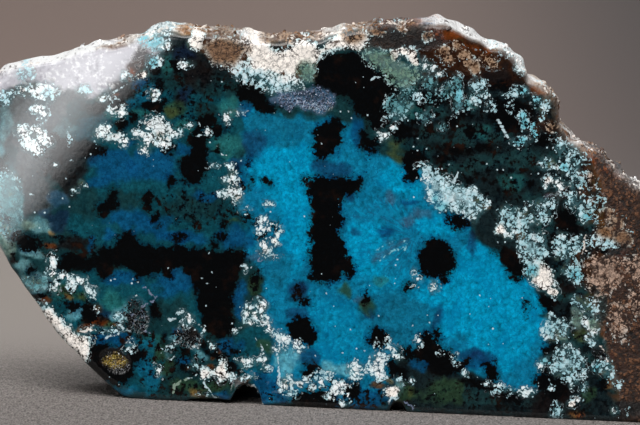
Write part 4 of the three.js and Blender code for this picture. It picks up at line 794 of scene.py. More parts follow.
def line_distance(a, b, points):
    along = b - a
    share = np.clip((points - a) @ along / (along @ along), 0, 1)
    return np.linalg.norm(points - a - share[:, None] * along, axis=1)


def patch_depth(patch, points):
    if isinstance(patch, list):
        return outline_depth(patch, points)
    x, y, rx, ry, turn = (*patch, 0)[:5]
    away = turned(points - (x, y), -math.radians(turn))
    q = np.hypot(away[:, 0] / rx, away[:, 1] / ry)
    return (1 - q) * min(rx, ry) / 10


def depth_of(patches, points):
    depth = np.full(len(points), FAR_OUTSIDE)
    for patch in patches:
        depth = np.maximum(depth, patch_depth(patch, points))
    return depth


def least(patch):
    """A patch's least half width, as far as its fraying goes."""
    return WIDE_PATCH if isinstance(patch, list) else min(patch[2], patch[3], WIDE_PATCH)


def wavered(points, reaches, seed):
    """Points shaken by noise: each reach is (how far, over what length), in millimetres."""
    shaken = points.copy()
    for k, (far, size) in enumerate(reaches):
        for axis in range(2):
            shaken[:, axis] += 10 * far * noise(points, 10 * size, seed + 2 * k + axis)
    return shaken


def rgb(name):
    return np.array(COLOURS[name], float) / 255


def raggedness(points, seed):
    """Noise that frays an edge, from about -1 to 1."""
    rough = 0.55 * noise(points, 9, seed) + 0.35 * noise(points, 4.5, seed + 1)
    return rough + 0.2 * noise(points, 2.6, seed + 2)


def painted(coat, groups, points, fray=0.055, blur=0.035):
    """Lays coloured patches over a coat; fray and blur are shares of a patch's least half width.

    A coat with a fourth column takes each group's second value there, instead of covering by it.
    """
    frays = [raggedness(points, 60 + 5 * k) for k in range(4)]
    turn = 0
    for name, cover, patches in groups:
        for patch in patches:
            turn += 1
            size = least(patch)
            depth = patch_depth(patch, points) + fray * size * frays[turn % 4]
            soft = max(0.1, blur * size)
            weight = ramped(depth, -soft, soft)[:, None]
            if coat.shape[1] == 3:
                coat = coat * (1 - cover * weight) + rgb(name) * cover * weight
            else:
                coat = coat * (1 - weight) + np.append(rgb(name), cover) * weight
    return coat


def by_place(table, x):
    """Colours along the rim, running smoothly from each to the next."""
    at = [place for place, _ in table]
    tones = np.array([rgb(name) for _, name in table])
    return np.stack([np.interp(x, at, tones[:, k]) for k in range(3)], -1)


def linear(colour):
    return np.where(colour < 0.04045, colour / 12.92, ((colour + 0.055) / 1.055) ** 2.4)


def wood_pits(points):
    """Open pores in the brown wood, from 0 to 1 where they are deepest. Points are on the drawing."""
    random = np.random.default_rng(11)
    pits = np.zeros(len(points))
    places = np.stack([random.uniform(570, 745, WOOD_PITS), random.uniform(140, 420, WOOD_PITS)], -1)
    low, high = WOOD_PIT_SIZE
    sizes = 10 * (low + (high - low) * random.uniform(0, 1, WOOD_PITS) ** 3)
    sizes *= noise(places, 30, 12) > -0.1  # none in some stretches
    for (x, y), size in zip(places[sizes > 0], sizes[sizes > 0]):
        near = (np.abs(points[:, 0] - x) < 2 * size) & (np.abs(points[:, 1] - y) < 2 * size)
        if near.any():
            away = np.linalg.norm(points[near] - (x, y), axis=1) / size
            pits[near] = np.maximum(pits[near], np.clip(1 - away**2, 0, 1))
    return pits * ramped(depth_of(WOOD[:1], points), 0.05, 0.5)


def shaken_skin(flat, places):
    """Where a point lies on the rind's skin: along it, and from the front to the back."""
    return np.stack([flat[:, 0] + flat[:, 1], places[:, 1] * 10], -1)


def markings(places, rim_share):
    """Every attribute that the stone's finish reads."""
    flat = drawn(places[:, [0, 2]])
    broad = wavered(flat, BROAD_WAVER, 20)
    close = wavered(flat, CLOSE_WAVER, 30)
    coat = np.tile(rgb(GROUND), (len(places), 1))
    coat = painted(coat, ZONES, broad)
    shaken = flat[:, 0] + 14 * noise(np.stack([flat[:, 0], places[:, 1] * 10], -1), 14, 90)
    laps = ramped(depth_of(LAPS, close) + 0.12 * raggedness(flat, 80), -0.12, 0.12)
    rind = np.maximum(laps, rim_share)
    crest = ramped(rim_share + 0.14 * raggedness(shaken_skin(flat, places), 95), 0.14, 0.46)
    weathered = by_place(INNER_RIND, shaken) * (1 - crest[:, None])
    weathered = weathered + by_place(RIND, shaken) * crest[:, None]
    coat = coat * (1 - rind[:, None]) + weathered * rind[:, None]
    bloom = depth_of([patch for _, _, patches in BLOOM for patch in patches], close)
    tint = painted(np.tile(np.append(rgb("ice"), 0.5), (len(places), 1)), BLOOM, close, 0.02, 0.05)
    warm = depth_of([patch for name, _, patches in BLOOM if name in WARM for patch in patches], close)
    veins = np.full(len(places), FAR_OUTSIDE)
    thread = np.tile(rgb("ice"), (len(places), 1))
    lines = wavered(flat, VEIN_WAVER, 40)
    for name, half, line in VEINS:
        distance = np.full(len(places), 1e9)
        for a, b in zip(line, line[1:]):
            near = line_distance(np.array(a, float), np.array(b, float), lines)
            distance = np.minimum(distance, near)
        thread = np.where((distance < half + 3)[:, None], rgb(name), thread)
        veins = np.maximum(veins, (half - distance) / 10)
    dots = np.full(len(places), FAR_OUTSIDE)
    for x, y in DOTS + STREAK:
        dots = np.maximum(dots, (DOT_RADIUS - np.linalg.norm(flat - (x, y), axis=1)) / 10)
    mottled = np.zeros(len(places))
    for share, patches in MOTTLED:
        mottled = np.maximum(mottled, share * ramped(depth_of(patches, broad), -0.4, 0.5))
    return {
        "opal": linear(coat), "bloom_tint": linear(tint[:, :3]), "packed": tint[:, 3],
        "vein_tint": linear(thread), "char": depth_of(CHAR, broad * 0.5 + close * 0.5),
        "bloom": bloom, "veins": veins, "dots": dots,
        "warm": ramped(warm, -1.3, -0.5),
        "mottled": mottled, "rind": rind, "wood": ramped(depth_of(WOOD, close), -0.2, 0.3),
        "druse": ramped(depth_of(DRUSE, broad) + 0.2 * raggedness(flat, 99), -0.1, 0.35),
        "gold": ramped(depth_of(GOLD_POCKET, close), -0.15, 0.25),
        "swirl": ramped(depth_of(SWIRL, broad), -0.2, 0.8), "fan": fanned(flat),
        "milky": ramped(depth_of(MILK, broad), -0.3, 0.3),
        "dirt": np.interp(shaken, *zip(*DIRT)) * rind * (1 - 0.55 * crest), "crest": crest * rind,
        "hollow": ramped(hollow_depth(places[:, [0, 2]]), 0.0, 0.08),
        "pocket": ramped(hollow_depth(places[:, [0, 2]], ROUND_HOLLOWS), 0.02, 0.08),
    }


def fanned(flat):
    """Where a point lies among the strokes from FAN_MIDDLE: round it and, squeezed, away from it."""
    away = wavered(flat, FAN_WAVER, 50) - FAN_MIDDLE
    reach = np.hypot(away[:, 0], away[:, 1]) / 10
    around = np.arctan2(away[:, 1], -away[:, 0])
    return np.stack([around * FAN_REACH, np.zeros(len(flat)), reach * FAN_SQUEEZE], -1)


# ================================ the mesh ================================
def make_stone():
    loop = rim_loop()
    rows, front_inset, back_inset = rim_rows(loop)
    count = len(loop)
    last = len(rows) - 1
    front_grid, front_faces = filled(front_inset, FACE_STEP)
    back_grid, back_faces = filled(back_inset, BACK_STEP)
    front_start = rows.shape[0] * count
    back_start = front_start + len(front_grid)
    pits = wood_pits(drawn(front_grid))
    front = np.stack([front_grid[:, 0], front_y(front_grid) + WOOD_PIT_DEPTH * pits, front_grid[:, 1]], -1)
    back = np.stack([back_grid[:, 0], back_y(back_grid), back_grid[:, 1]], -1)
    whole = np.vstack([rows.reshape(-1, 3), front, back])
    places = chipped(whole.copy())
    lifted = places[:, 2] - whole[:, 2]
    front_faces = np.where(front_faces < count, front_faces, front_faces - count + front_start)
    back_faces = np.where(back_faces < count, back_faces + last * count, back_faces - count + back_start)
    k = np.arange(count)
    after = (k + 1) % count
    rim_faces = []
    for row in range(last):
        a, b = row * count + k, row * count + after
        c, d = b + count, a + count
        rim_faces += [np.stack([a, d, c], -1), np.stack([a, c, b], -1)]
    faces = np.vstack([towards(places, front_faces, -1), towards(places, back_faces, 1), *rim_faces])

    on_front = np.zeros(len(places), bool)
    on_front[:count] = on_front[front_start:back_start] = True
    on_back = np.zeros(len(places), bool)
    on_back[back_start:] = on_back[last * count:front_start] = True
    row_of = np.repeat(np.arange(rows.shape[0]), count)
    rim_share = np.zeros(len(places))
    rim_share[:front_start] = ramped(row_of, 1, ARC_ROWS) * (1 - ramped(row_of, last - 3, last))
    flat = drawn(places[:, [0, 2]])
    lower_left = ramped(130 - flat[:, 0], 0, 30) * ramped(flat[:, 1], 235, 275)
    rim_share *= ramped(places[:, 2], 0.4, 2.5) * (1 - lower_left)  # no rind on the sawn foot, nor there
    marks = markings(places, rim_share)
    marks["char"][on_back] -= 0.1
    marks["polish"] = np.where(on_front, 1.0, 0.0)
    marks["polish"][:front_start] = 1 - ramped(row_of, 1, ARC_ROWS)
    marks["sawn"] = np.where(on_back, 1.0, 0.0)
    behind = places[:, 1] - front_y(places[:, [0, 2]])
    # painted shade: dark inside the chips in the foot, the further behind the face the darker
    marks["chip_painted_shade"] = ramped(lifted, 0.02, 0.2) * ramped(behind, 0.25, 1.2) * 0.9
    past = turned(places[:, [0, 2]] - level(ROLL_LINE), -ROLL_TOWARDS)[:, 0]
    marks["worn"] = ramped(past, -1, 5)
    deep_in = ramped(places[:, 1] - front_y(places[:, [0, 2]]), 2.5, 6)
    rough_rind = marks["rind"] * np.interp(flat[:, 0], *zip(*DIRT)) * ramped(places[:, 2], 1.0, 3.0)
    clumped = ramped(noise(shaken_skin(flat, places), 16, 97), -0.5, 0.5)
    marks["crumbly"] = np.where(on_back, 0.0, rough_rind * clumped * (1 - 0.7 * deep_in))
    marks["pits"] = np.zeros(len(places))
    marks["pits"][front_start:back_start] = pits

    low, high = places.min(0), places.max(0)
    places -= [(low[0] + high[0]) / 2, (low[1] + high[1]) / 2, low[2]]
    mesh = bpy.data.meshes.new("opalized_wood_stone")
    mesh.from_pydata([], [], [])
    mesh.vertices.add(len(places))
    mesh.vertices.foreach_set("co", (places * MM).ravel())
    mesh.loops.add(faces.size)
    mesh.loops.foreach_set("vertex_index", faces.ravel())
    mesh.polygons.add(len(faces))
    mesh.polygons.foreach_set("loop_start", np.arange(0, faces.size, 3))
    mesh.update(calc_edges=True)
    mesh.validate()
    mesh.shade_smooth()
    for name, values in marks.items():
        if name == "fan":
            attribute = mesh.attributes.new(name, "FLOAT_VECTOR", "POINT")
            attribute.data.foreach_set("vector", values.astype(np.float32).ravel())
        elif values.ndim == 2:
            attribute = mesh.attributes.new(name, "FLOAT_COLOR", "POINT")
            filled_out = np.hstack([values, np.ones((len(values), 1))])
            attribute.data.foreach_set("color", filled_out.astype(np.float32).ravel())
        else:
            attribute = mesh.attributes.new(name, "FLOAT", "POINT")
            attribute.data.foreach_set("value", values.astype(np.float32))
    stone = bpy.data.objects.new("opalized_wood_stone", mesh)
    bpy.context.scene.collection.objects.link(stone)
    return stone


def towards(places, faces, side):
    """Faces turned so that they look along -Y (side -1) or +Y (side 1)."""
    a, b, c = (places[faces[:, k]] for k in range(3))
    facing = np.sign(np.cross(b - a, c - a)[:, 1])
    return np.where((facing == side)[:, None], faces, faces[:, ::-1])


# ================================ materials ================================
class Wire:
    """A socket that takes part in Python expressions; each operation adds its node."""

    def __init__(self, bench, socket):
        self.bench, self.socket = bench, socket

    def math(self, operation, *others):
        return self.bench.node("ShaderNodeMath", {"operation": operation}, self, *others)

    def __add__(self, other): return self.math("ADD", other)
    def __sub__(self, other): return self.math("SUBTRACT", other)
    def __mul__(self, other): return self.math("MULTIPLY", other)
    def __neg__(self): return self.math("MULTIPLY", -1)
    def __radd__(self, other): return self.math("ADD", other)
    def __rmul__(self, other): return self.math("MULTIPLY", other)
    def __or__(self, other): return self.math("MAXIMUM", other)

    def __rsub__(self, other):
        return self.bench.node("ShaderNodeMath", {"operation": "SUBTRACT"}, other, self)

    def over(self, limit):
        """1 where the value is above the limit."""
        return self.math("GREATER_THAN", limit)

    def ramp(self, low, high):
        """A smooth step from 0 at low to 1 at high."""
        return self.bench.node("ShaderNodeMapRange", {"interpolation_type": "SMOOTHSTEP"}, self, low, high)


class Bench:
    """A tree's nodes, laid and linked."""

    def __init__(self, tree):
        self.nodes, self.links = tree.nodes, tree.links

    def node(self, kind, settings, *values, output=0, **named):
        node = self.nodes.new(kind)
        for key, value in settings.items():
            setattr(node, key, value)
        usable = [socket for socket in node.inputs if socket.enabled]
        pairs = list(zip(usable, values))
        pairs += [(self.socket(node, key), value) for key, value in named.items()]
        for socket, value in pairs:
            self.feed(socket, value)
        outputs = [socket for socket in node.outputs if socket.enabled]
        found = outputs[output] if isinstance(output, int) else node.outputs[output]
        return Wire(self, found)

    def socket(self, node, key):
        wanted = key.replace("_", " ")
        return next(s for s in node.inputs if s.enabled and wanted in (s.name, s.identifier))

    def feed(self, socket, value):
        if isinstance(value, Wire):
            self.links.new(value.socket, socket)
        elif value is not None:
            socket.default_value = value


class Finish(Bench):
    """One material's nodes."""

    def __init__(self, name):
        self.material = bpy.data.materials.new(name)
        self.material.use_nodes = True
        super().__init__(self.material.node_tree)
        self.shader = self.nodes["Principled BSDF"]

    def finish(self, **inputs):
        for key, value in inputs.items():
            self.feed(self.socket(self.shader, key), value)
        return self.material

    def attribute(self, name):
        return self.node("ShaderNodeAttribute", {"attribute_name": name}, output="Fac")

    def tint(self, name):
        return self.node("ShaderNodeAttribute", {"attribute_name": name}, output="Color")

    def places(self, stretch=(1, 1, 1)):
        """Object coordinates in millimetres, stretched."""
        where = self.node("ShaderNodeTexCoord", {}, output="Object")
        return self.node("ShaderNodeVectorMath", {"operation": "MULTIPLY"}, where, [s / MM for s in stretch])

    def shaken(self, where, far, size):
        """Places moved up to far millimetres by noise of that size, which makes cells irregular."""
        colour = self.node("ShaderNodeTexNoise", {}, where, output="Color", Scale=1 / size, Detail=2.0)
        way = self.node("ShaderNodeVectorMath", {"operation": "SUBTRACT"}, colour, (0.5, 0.5, 0.5))
        way = self.node("ShaderNodeVectorMath", {"operation": "SCALE"}, way, Scale=4 * far)
        return self.node("ShaderNodeVectorMath", {"operation": "ADD"}, where, way)

    def noise(self, where, size, detail=2.0, rough=0.5):
        """Noise from about -1 to 1 whose lumps are size millimetres across."""
        value = self.node("ShaderNodeTexNoise", {}, where, Scale=1 / size, Detail=detail, Roughness=rough)
        return (value - 0.5) * 4

    def cells(self, where, size):
        """Random cells: the distance from each one's middle in cells, and a random value for each."""
        distance = self.node("ShaderNodeTexVoronoi", {}, where, Scale=1 / size)
        colour = Wire(self, distance.socket.node.outputs["Color"])
        parts = self.node("ShaderNodeSeparateColor", {}, colour)
        return distance, parts, Wire(self, parts.socket.node.outputs[1])

    def seams(self, where, size):
        """The distance from the seams between random cells."""
        return self.node("ShaderNodeTexVoronoi", {"feature": "DISTANCE_TO_EDGE"}, where, Scale=1 / size)

    def mix(self, mask, a, b):
        a, b = (colour if isinstance(colour, Wire) else shade(colour) for colour in (a, b))
        return self.node("ShaderNodeMix", {"data_type": "RGBA"}, mask, a, b)

    def scaled(self, colour, amount):
        return self.node("ShaderNodeVectorMath", {"operation": "SCALE"}, colour, Scale=amount)

    def times(self, colour, other):
        if not isinstance(colour, Wire):
            colour = shade(colour)[:3]
        return self.node("ShaderNodeVectorMath", {"operation": "MULTIPLY"}, colour, other)


def shade(name):
    return (*linear(rgb(name)), 1)


class StoneFields(Finish):
    """What the stone's layers share. Each layer is a function that paints over the colour so far."""

    def __init__(self):
        super().__init__("polished_opal")
        self.grain = self.places(ALONG_GRAIN)
        self.crumpled = self.shaken(self.grain, 0.22, 0.5)
        self.fine = self.noise(self.grain, 0.15)
        self.mid = self.noise(self.grain, 0.5, 3)
        self.lump = self.noise(self.grain, 0.95, 2)
        self.broad = self.noise(self.grain, 1.8, 3)
        self.dust = self.noise(self.grain, 0.26, 3, 0.6)
        self.opal = self.tint("opal")
        self.polish, self.sawn = self.attribute("polish"), self.attribute("sawn")
        self.wood, self.rind = self.attribute("wood"), self.attribute("rind")
        self.milky, self.dirt = self.attribute("milky"), self.attribute("dirt")
        self.mottled, self.hollow = self.attribute("mottled"), self.attribute("hollow")
        self.not_earthy = (1 - self.wood) * (1 - self.rind)
        self.clear = self.not_earthy * (1 - self.milky)
        pore_d, pore_r, pore_s = self.cells(self.crumpled, 0.62)
        self.pores = (0.08 + 0.3 * pore_r - pore_d + 0.1 * self.fine).ramp(0, 0.1) * pore_s.over(0.35)
        seams = self.seams(self.crumpled, 0.75)
        self.cracks = (0.1 - seams + 0.08 * self.dust + 0.06 * self.lump).ramp(0, 0.1)
        crumb_d, self.crumb_r, _ = self.cells(self.shaken(self.grain, 0.16, 0.3), 0.4)
        self.crumbs = (0.5 - crumb_d + 0.12 * self.mid).ramp(0.0, 0.16)
        # small cells: the painted glints in the pockets, and the facets of the hollows' bump
        self.frost_d, self.frost_r, _ = self.cells(self.grain, 0.2)
        self.find_bloom()
        self.find_charcoal()

    def lay(self, mask, colour):
        """Covers the colour so far by another, as far as the mask says."""
        self.colour = self.mix(mask, self.colour, colour)

    def find_bloom(self):
        """Whole rounded grains, thick in the middle of a patch and fewer towards its edge."""
        fine, mid, lump, dust = self.fine, self.mid, self.lump, self.dust
        bloom, packed = self.attribute("bloom"), self.attribute("packed")
        frayed = bloom.math("MINIMUM", 0.2) - 0.33 + 0.55 * packed
        frayed = frayed + 0.26 * lump + 0.24 * mid + 0.08 * dust + 0.03 * fine
        frayed = frayed.math("MINIMUM", bloom + 0.14 + 0.1 * mid + 0.06 * dust)
        grains = self.shaken(self.shaken(self.grain, 0.15, 0.3), 0.05, 0.12)
        self.gap = self.seams(grains, 0.56)
        self.grain_d, grain_r, self.grain_s = self.cells(grains, 0.56)
        seed_d, seed_r, _ = self.cells(grains, 0.3)
        width = 0.11 - frayed * 0.3 + 0.14 * (grain_r - 0.5) + 0.09 * mid - 0.05 * dust
        width = width.math("MAXIMUM", -0.06)
        big = (self.gap - width).ramp(0.0, 0.05) * (0.8 - self.grain_d - width).ramp(0.0, 0.08)
        big = big * (frayed + 0.3 * (grain_r - 0.5)).ramp(-0.06, 0.0)
        small = (0.46 - seed_d).ramp(0, 0.12) * (frayed + 0.5 * (seed_r - 0.5) + 0.04).ramp(-0.06, 0.0)
        crust = (bloom + 0.3 * mid + 0.25 * lump + packed - 0.8).ramp(0.35, 1.0) * 0.6
        self.popcorn = (big | (small * 0.85)) | (crust * frayed.ramp(-0.1, 0.0))
        self.halo = (bloom + 0.12 * mid + 0.1 * dust).ramp(-0.42, 0.12) * self.not_earthy
        # a dark ring round the bloom: partly its own dark outline, partly painted shade
        self.ring = (frayed + 0.3 * mid).ramp(-0.4, -0.1)
        rim = (bloom + 0.14 + 0.16 * mid + 0.14 * dust).math("ABSOLUTE")
        self.lace = (0.055 - rim).ramp(0.0, 0.05) * self.not_earthy
        self.grain_tint = self.tint("bloom_tint")
        self.red = self.node("ShaderNodeSeparateColor", {}, self.grain_tint)
        self.cool = (Wire(self, self.red.socket.node.outputs[2]) - self.red).ramp(-0.02, 0.06)

    def find_charcoal(self):
        """Ragged black with a dark fringe."""
        char = self.attribute("char")
        blotch = (self.broad * 0.35 + self.mid * 0.5 + self.dust * 0.3) * 0.55 - 0.42 + 0.34 * self.mottled
        char = char | (blotch + 9 * (self.mottled - 1) * self.mottled.math("LESS_THAN", 0.05))
        self.ragged = char + 0.3 * self.lump + 0.3 * self.mid + 0.27 * self.dust + 0.14 * self.fine
        self.fringe = self.ragged.ramp(-0.6, 0.12) * (1 - self.milky)


def clear_opal(b):
    """Pebbled and clouded opal, with dark blots and creases."""
    opal, clear, mid, lump, broad = b.opal, b.clear, b.mid, b.lump, b.broad
    pebble_d, pebble_r, _ = b.cells(b.crumpled, 0.44)
    light = -0.12 + 0.6 * (0.46 - pebble_d) + 0.24 * (pebble_r - 0.5)
    light = light + 0.26 * mid + 0.14 * b.fine + 0.16 * lump
    b.colour = b.scaled(opal, 1 + clear * light)
    glow = (mid + 0.6 * broad).ramp(0.3, 1.6) * 0.5 * clear
    b.lay(glow, b.times(opal, (2.0, 1.3, 1.15)))
    cloud = (broad + 0.5 * b.dust).ramp(-0.2, 1.1) * 0.65 * clear
    b.lay(cloud, b.times(opal, (0.35, 0.55, 0.66)))
    blots = (b.noise(b.crumpled, 0.33, 3, 0.6) + 0.5 * lump).ramp(0.25, 1.2)
    creases = (0.09 - b.seams(b.crumpled, 0.6)).ramp(0, 0.07) * mid.ramp(-0.2, 0.7)
    b.lay((blots * 0.64 | creases * 0.7) * clear, b.times(opal, (0.2, 0.36, 0.46)))


def brush_strokes(b):
    """Strokes of dusky purple and of bright blue that spread from one point."""
    fan = b.node("ShaderNodeAttribute", {"attribute_name": "fan"}, output="Vector")
    strokes, swirl = b.noise(fan, 0.42, 3, 0.6), b.attribute("swirl")
    purple = b.times(b.opal, (2.0, 0.42, 0.5))
    b.lay(swirl * strokes.ramp(0.0, 0.9) * 0.75, purple)
    b.lay(swirl * (-strokes).ramp(0.1, 1.0) * 0.6, "sky")


def milky_opal(b):
    """Milky opal, clouded, with whiter crumbs."""
    milky, mid, dust = b.milky, b.mid, b.dust
    crumbs = milky * (0.7 * mid + 0.6 * dust + 0.4 * b.lump).ramp(0.0, 0.8) * 0.7
    b.lay(crumbs, "white")
    cloud = milky * (-0.7 * b.broad - 0.6 * mid - 0.3 * dust).ramp(0.0, 1.0) * 0.75
    b.lay(cloud, b.times(b.opal, (0.42, 0.4, 0.44)))


def bare_wood(b):
    """Brown wood: crumbs and cracked lumps, darker and rosier by turns."""
    opal, wood, mid, lump, broad = b.opal, b.wood, b.mid, b.lump, b.broad
    dust, crumbs = b.dust, b.crumbs
    bare = b.scaled(opal, 0.66 + 0.6 * b.crumb_r + 0.3 * dust + 0.34 * mid)
    bare = b.mix(crumbs, b.times(opal, (0.2, 0.16, 0.14)), bare)
    pale = (dust + 0.5 * mid).ramp(0.5, 1.5) * 0.35 * crumbs
    bare = b.mix(pale, bare, b.times(opal, (1.8, 1.75, 1.7)))
    b.lay(wood, bare)
    dark = (-1 * broad - 0.6 * mid - 0.4 * lump).ramp(0.0, 0.7) * 0.85 * wood
    b.lay(dark, b.times(opal, (0.2, 0.15, 0.13)))
    rosy = (broad * 0.6 + lump * 0.6 + 0.5 * dust).ramp(0.6, 1.3) * 0.5 * wood
    b.lay(rosy, "rose")
    ruddy = (broad - 0.6 * dust).ramp(0.5, 1.5) * 0.5 * wood
    b.lay(ruddy, b.times(opal, (1.2, 0.92, 0.7)))


def rind_crust(b):
    """Rind: dirty where it meets the face, whitened on its crest; then the pores and cracks of both."""
    opal, wood, dirt, mid, dust = b.opal, b.wood, b.dirt, b.mid, b.dust
    crusted = b.scaled(opal, 0.45 + 0.8 * b.crumb_r + 0.3 * mid)
    crusted = b.mix(b.crumbs, b.times(opal, (0.16, 0.12, 0.1)), crusted)
    b.lay(dirt * (1 - wood), crusted)
    crest = b.attribute("crest")
    b.lay(crest * (dust + 0.5 * mid + 0.3).ramp(-0.1, 0.9) * 0.3, "white")
    b.lay(crest * (-0.7 * dust - 0.5 * mid).ramp(0.1, 0.9) * 0.8, "bark")
    b.lay(dirt * (-mid - 0.4 * dust).ramp(0.6, 1.6) * 0.5, "brown")
    openings = b.pores * 0.6 * b.lump.ramp(-0.3, 0.6) | b.cracks * 0.75
    b.lay(openings * wood, "black")
    b.lay(b.pores * dirt * 0.5, "bark")


def bloom_ground(b):
    """The opal round the bloom, tinged by it."""
    mid, lump, broad, dust, halo = b.mid, b.lump, b.broad, b.dust, b.halo
    clear_of_black = 1 - b.fringe
    chill = b.cool * (1 - b.attribute("warm"))
    icy = b.mix(b.fine.ramp(-1, 1), "lichen", "aqua")
    b.lay(halo * chill * 0.22 * clear_of_black, icy)
    tinge = halo * (-1 * broad - 0.6 * mid).ramp(0.2, 1.0) * clear_of_black
    mossy = b.mix((lump + 0.4 * dust).ramp(-0.5, 0.6), "olive", "brown")
    b.lay(tinge * 0.6, mossy)
    earth = b.mix((lump + 0.5 * dust).ramp(-0.5, 0.7), "bark", "brown")
    b.lay(halo * (1 - chill) * 0.75, earth)


def charcoal(b):
    """Black patches with a shadowed fringe and peppered edges, and a dark ring round the bloom that is
    partly its own dark outline and partly painted shade.
    """
    opal, mid, broad, mottled = b.opal, b.mid, b.broad, b.mottled
    cold, ruddy = b.times(opal, (0.12, 0.2, 0.32)), b.times(opal, (0.5, 0.24, 0.18))
    shadow = b.mix(broad.ramp(-0.4, 0.4), cold, ruddy)
    b.lay(b.fringe * 0.8, shadow)
    pepper_d, pepper_r, _ = b.cells(b.crumpled, 0.2)
    pepper = (0.42 - pepper_d).ramp(0, 0.16) * (b.ragged.ramp(-0.6, 0.15) * 0.7 - pepper_r).over(0)
    black = b.ragged.ramp(-0.06, 0.1) | (pepper * 0.85)
    ink = b.mix(b.dust.ramp(0.0, 1.4), "black", "night")
    ink = b.mix((mottled * 0.6 + 0.25) * (broad + 0.4 * mid).ramp(0.2, 1.3), ink, "bark")
    b.lay(black * (1 - b.rind * 0.6), ink)
    # the dark ring round the bloom: partly its own dark outline, partly painted shade
    b.lay(b.ring * b.not_earthy * 0.4, "black")


def bloom_grains(b):
    """The pale grains: each a little lighter or darker, with painted shade at the seams between them and at
    the edges of cool ones, a painted highlight in each one's middle, and warm ones specked.
    """
    mid, lump, broad, dust = b.mid, b.lump, b.broad, b.dust
    tint, red, cool, grain_d, grain_s = b.grain_tint, b.red, b.cool, b.grain_d, b.grain_s
    tone = 0.92 + 0.26 * (grain_s - 0.3) + 0.2 * dust + 0.1 * b.fine + 0.1 * lump
    # painted shade: each grain darker towards the seams between grains
    tone = tone + (b.gap.ramp(0.0, 0.12) - 1) * 0.3
    pale = b.scaled(tint, tone + 0.14 * red.ramp(0.6, 0.85))
    # painted shade: a darker copy of the tint, laid towards the edges of cool grains
    painted_edge_shade = b.times(tint, (0.6, 0.86, 0.9))
    pale = b.mix((grain_d - 0.12).ramp(0.0, 0.4) * 0.55 * cool, pale, painted_edge_shade)
    # painted highlight: a lighter copy of the tint in the middle of each grain
    pale = b.mix((0.26 - grain_d).ramp(0.0, 0.22) * 0.6, pale, b.scaled(tint, 1.2))
    specks = (1 - cool - red.ramp(0.45, 0.8)) * (-0.9 * dust - 0.3 * mid).ramp(0.15, 0.5) * 0.9
    pale = b.mix(specks, pale, b.times(tint, (0.2, 0.14, 0.1)))
    whitened = (lump - 0.5 * mid).ramp(0.1, 1.3) * 0.55 * cool * red.ramp(0.15, 0.5)
    pale = b.mix(whitened, pale, "white")
    pale = b.mix((-1 * lump - 0.4 * broad).ramp(0.2, 1.2) * 0.6 * cool, pale, "tan")
    watery = (0.5 * mid + 0.5 * dust + 0.6 * (grain_s - 0.5)).ramp(0.2, 1.1) * 0.5 * cool
    pale = b.mix(watery, pale, "aqua")
    pale = b.mix((-0.5 * mid - 0.5 * dust).ramp(0.5, 1.3) * 0.4 * cool, pale, "sage")
    b.lay(b.popcorn, pale)


def threads_and_dots(b):
    """The lace round the bloom, the veins, the lone grains, and painted glints all over the opal."""
    mid, broad = b.mid, b.broad
    threads = (b.attribute("veins") + 0.07 * mid + 0.1 * b.dust).ramp(-0.01, 0.05)
    threads = threads * (broad + mid).ramp(-1.4, 0.0)
    lace = b.lace * (mid + 0.6 * broad).ramp(0.0, 1.0) * 0.6
    b.lay(lace, b.mix(b.cool, "lilac", b.grain_tint))
    b.lay(threads * 0.85, b.tint("vein_tint"))
    b.lay(b.attribute("dots").ramp(-0.03, 0.02) * 0.9, "ice")
    # painted glints: tiny pale dots scattered over the clear opal
    spark_d, spark_r, spark_s = b.cells(b.places((1, 0.4, 1)), 0.85)
    painted_glints = (0.03 + 0.055 * spark_s - spark_d).ramp(0, 0.03) * spark_r.over(0.55) * b.clear
    b.lay(painted_glints * 0.8, "ice")


def pockets(b):
    """The quartz pocket and the golden one, both with painted glints, and the wood's open pores."""
    druse, gold, dust = b.attribute("druse"), b.attribute("gold"), b.dust
    # the small pale cells below are painted glints, in the quartz pocket and in the golden one
    frost = (0.3 * b.frost_r + 0.05 - b.frost_d).ramp(0, 0.1)
    quartz_bed = b.mix((b.mid + 0.6 * dust).ramp(-0.3, 1.2), "slate", "lilac")
    b.lay(druse * 0.8, quartz_bed)
    b.lay(druse * frost * 0.6, "quartz")
    b.lay(gold * 0.9, b.mix(dust.ramp(-0.6, 0.9), "bark", "gold"))
    # painted glints in the golden pocket
    b.lay(gold * frost * 0.6, "cream")
    b.lay(b.attribute("pits").ramp(0.15, 0.7) * 0.85, "black")


def relief(b):
    """The fine heights, in millimetres, that the mesh is too coarse for."""
    mid, dust, wood = b.mid, b.dust, b.wood
    along_saw = b.places((0.9, 1, 0.25))
    saw = b.node("ShaderNodeTexWave", {"bands_direction": "X"}, along_saw, Scale=1.1, Distortion=2.0)
    rough = wood | b.dirt
    height = 0.0015 * mid * b.clear + 0.05 * rough * (mid + b.crumbs)
    height = height + 0.02 * (wood | b.rind) * dust
    height = height - 0.1 * (b.pores | b.cracks * 0.6) * rough
    height = height + 0.03 * b.rind * b.fine + 0.02 * b.sawn * saw
    return height + 0.05 * b.hollow * (1 - b.frost_d)


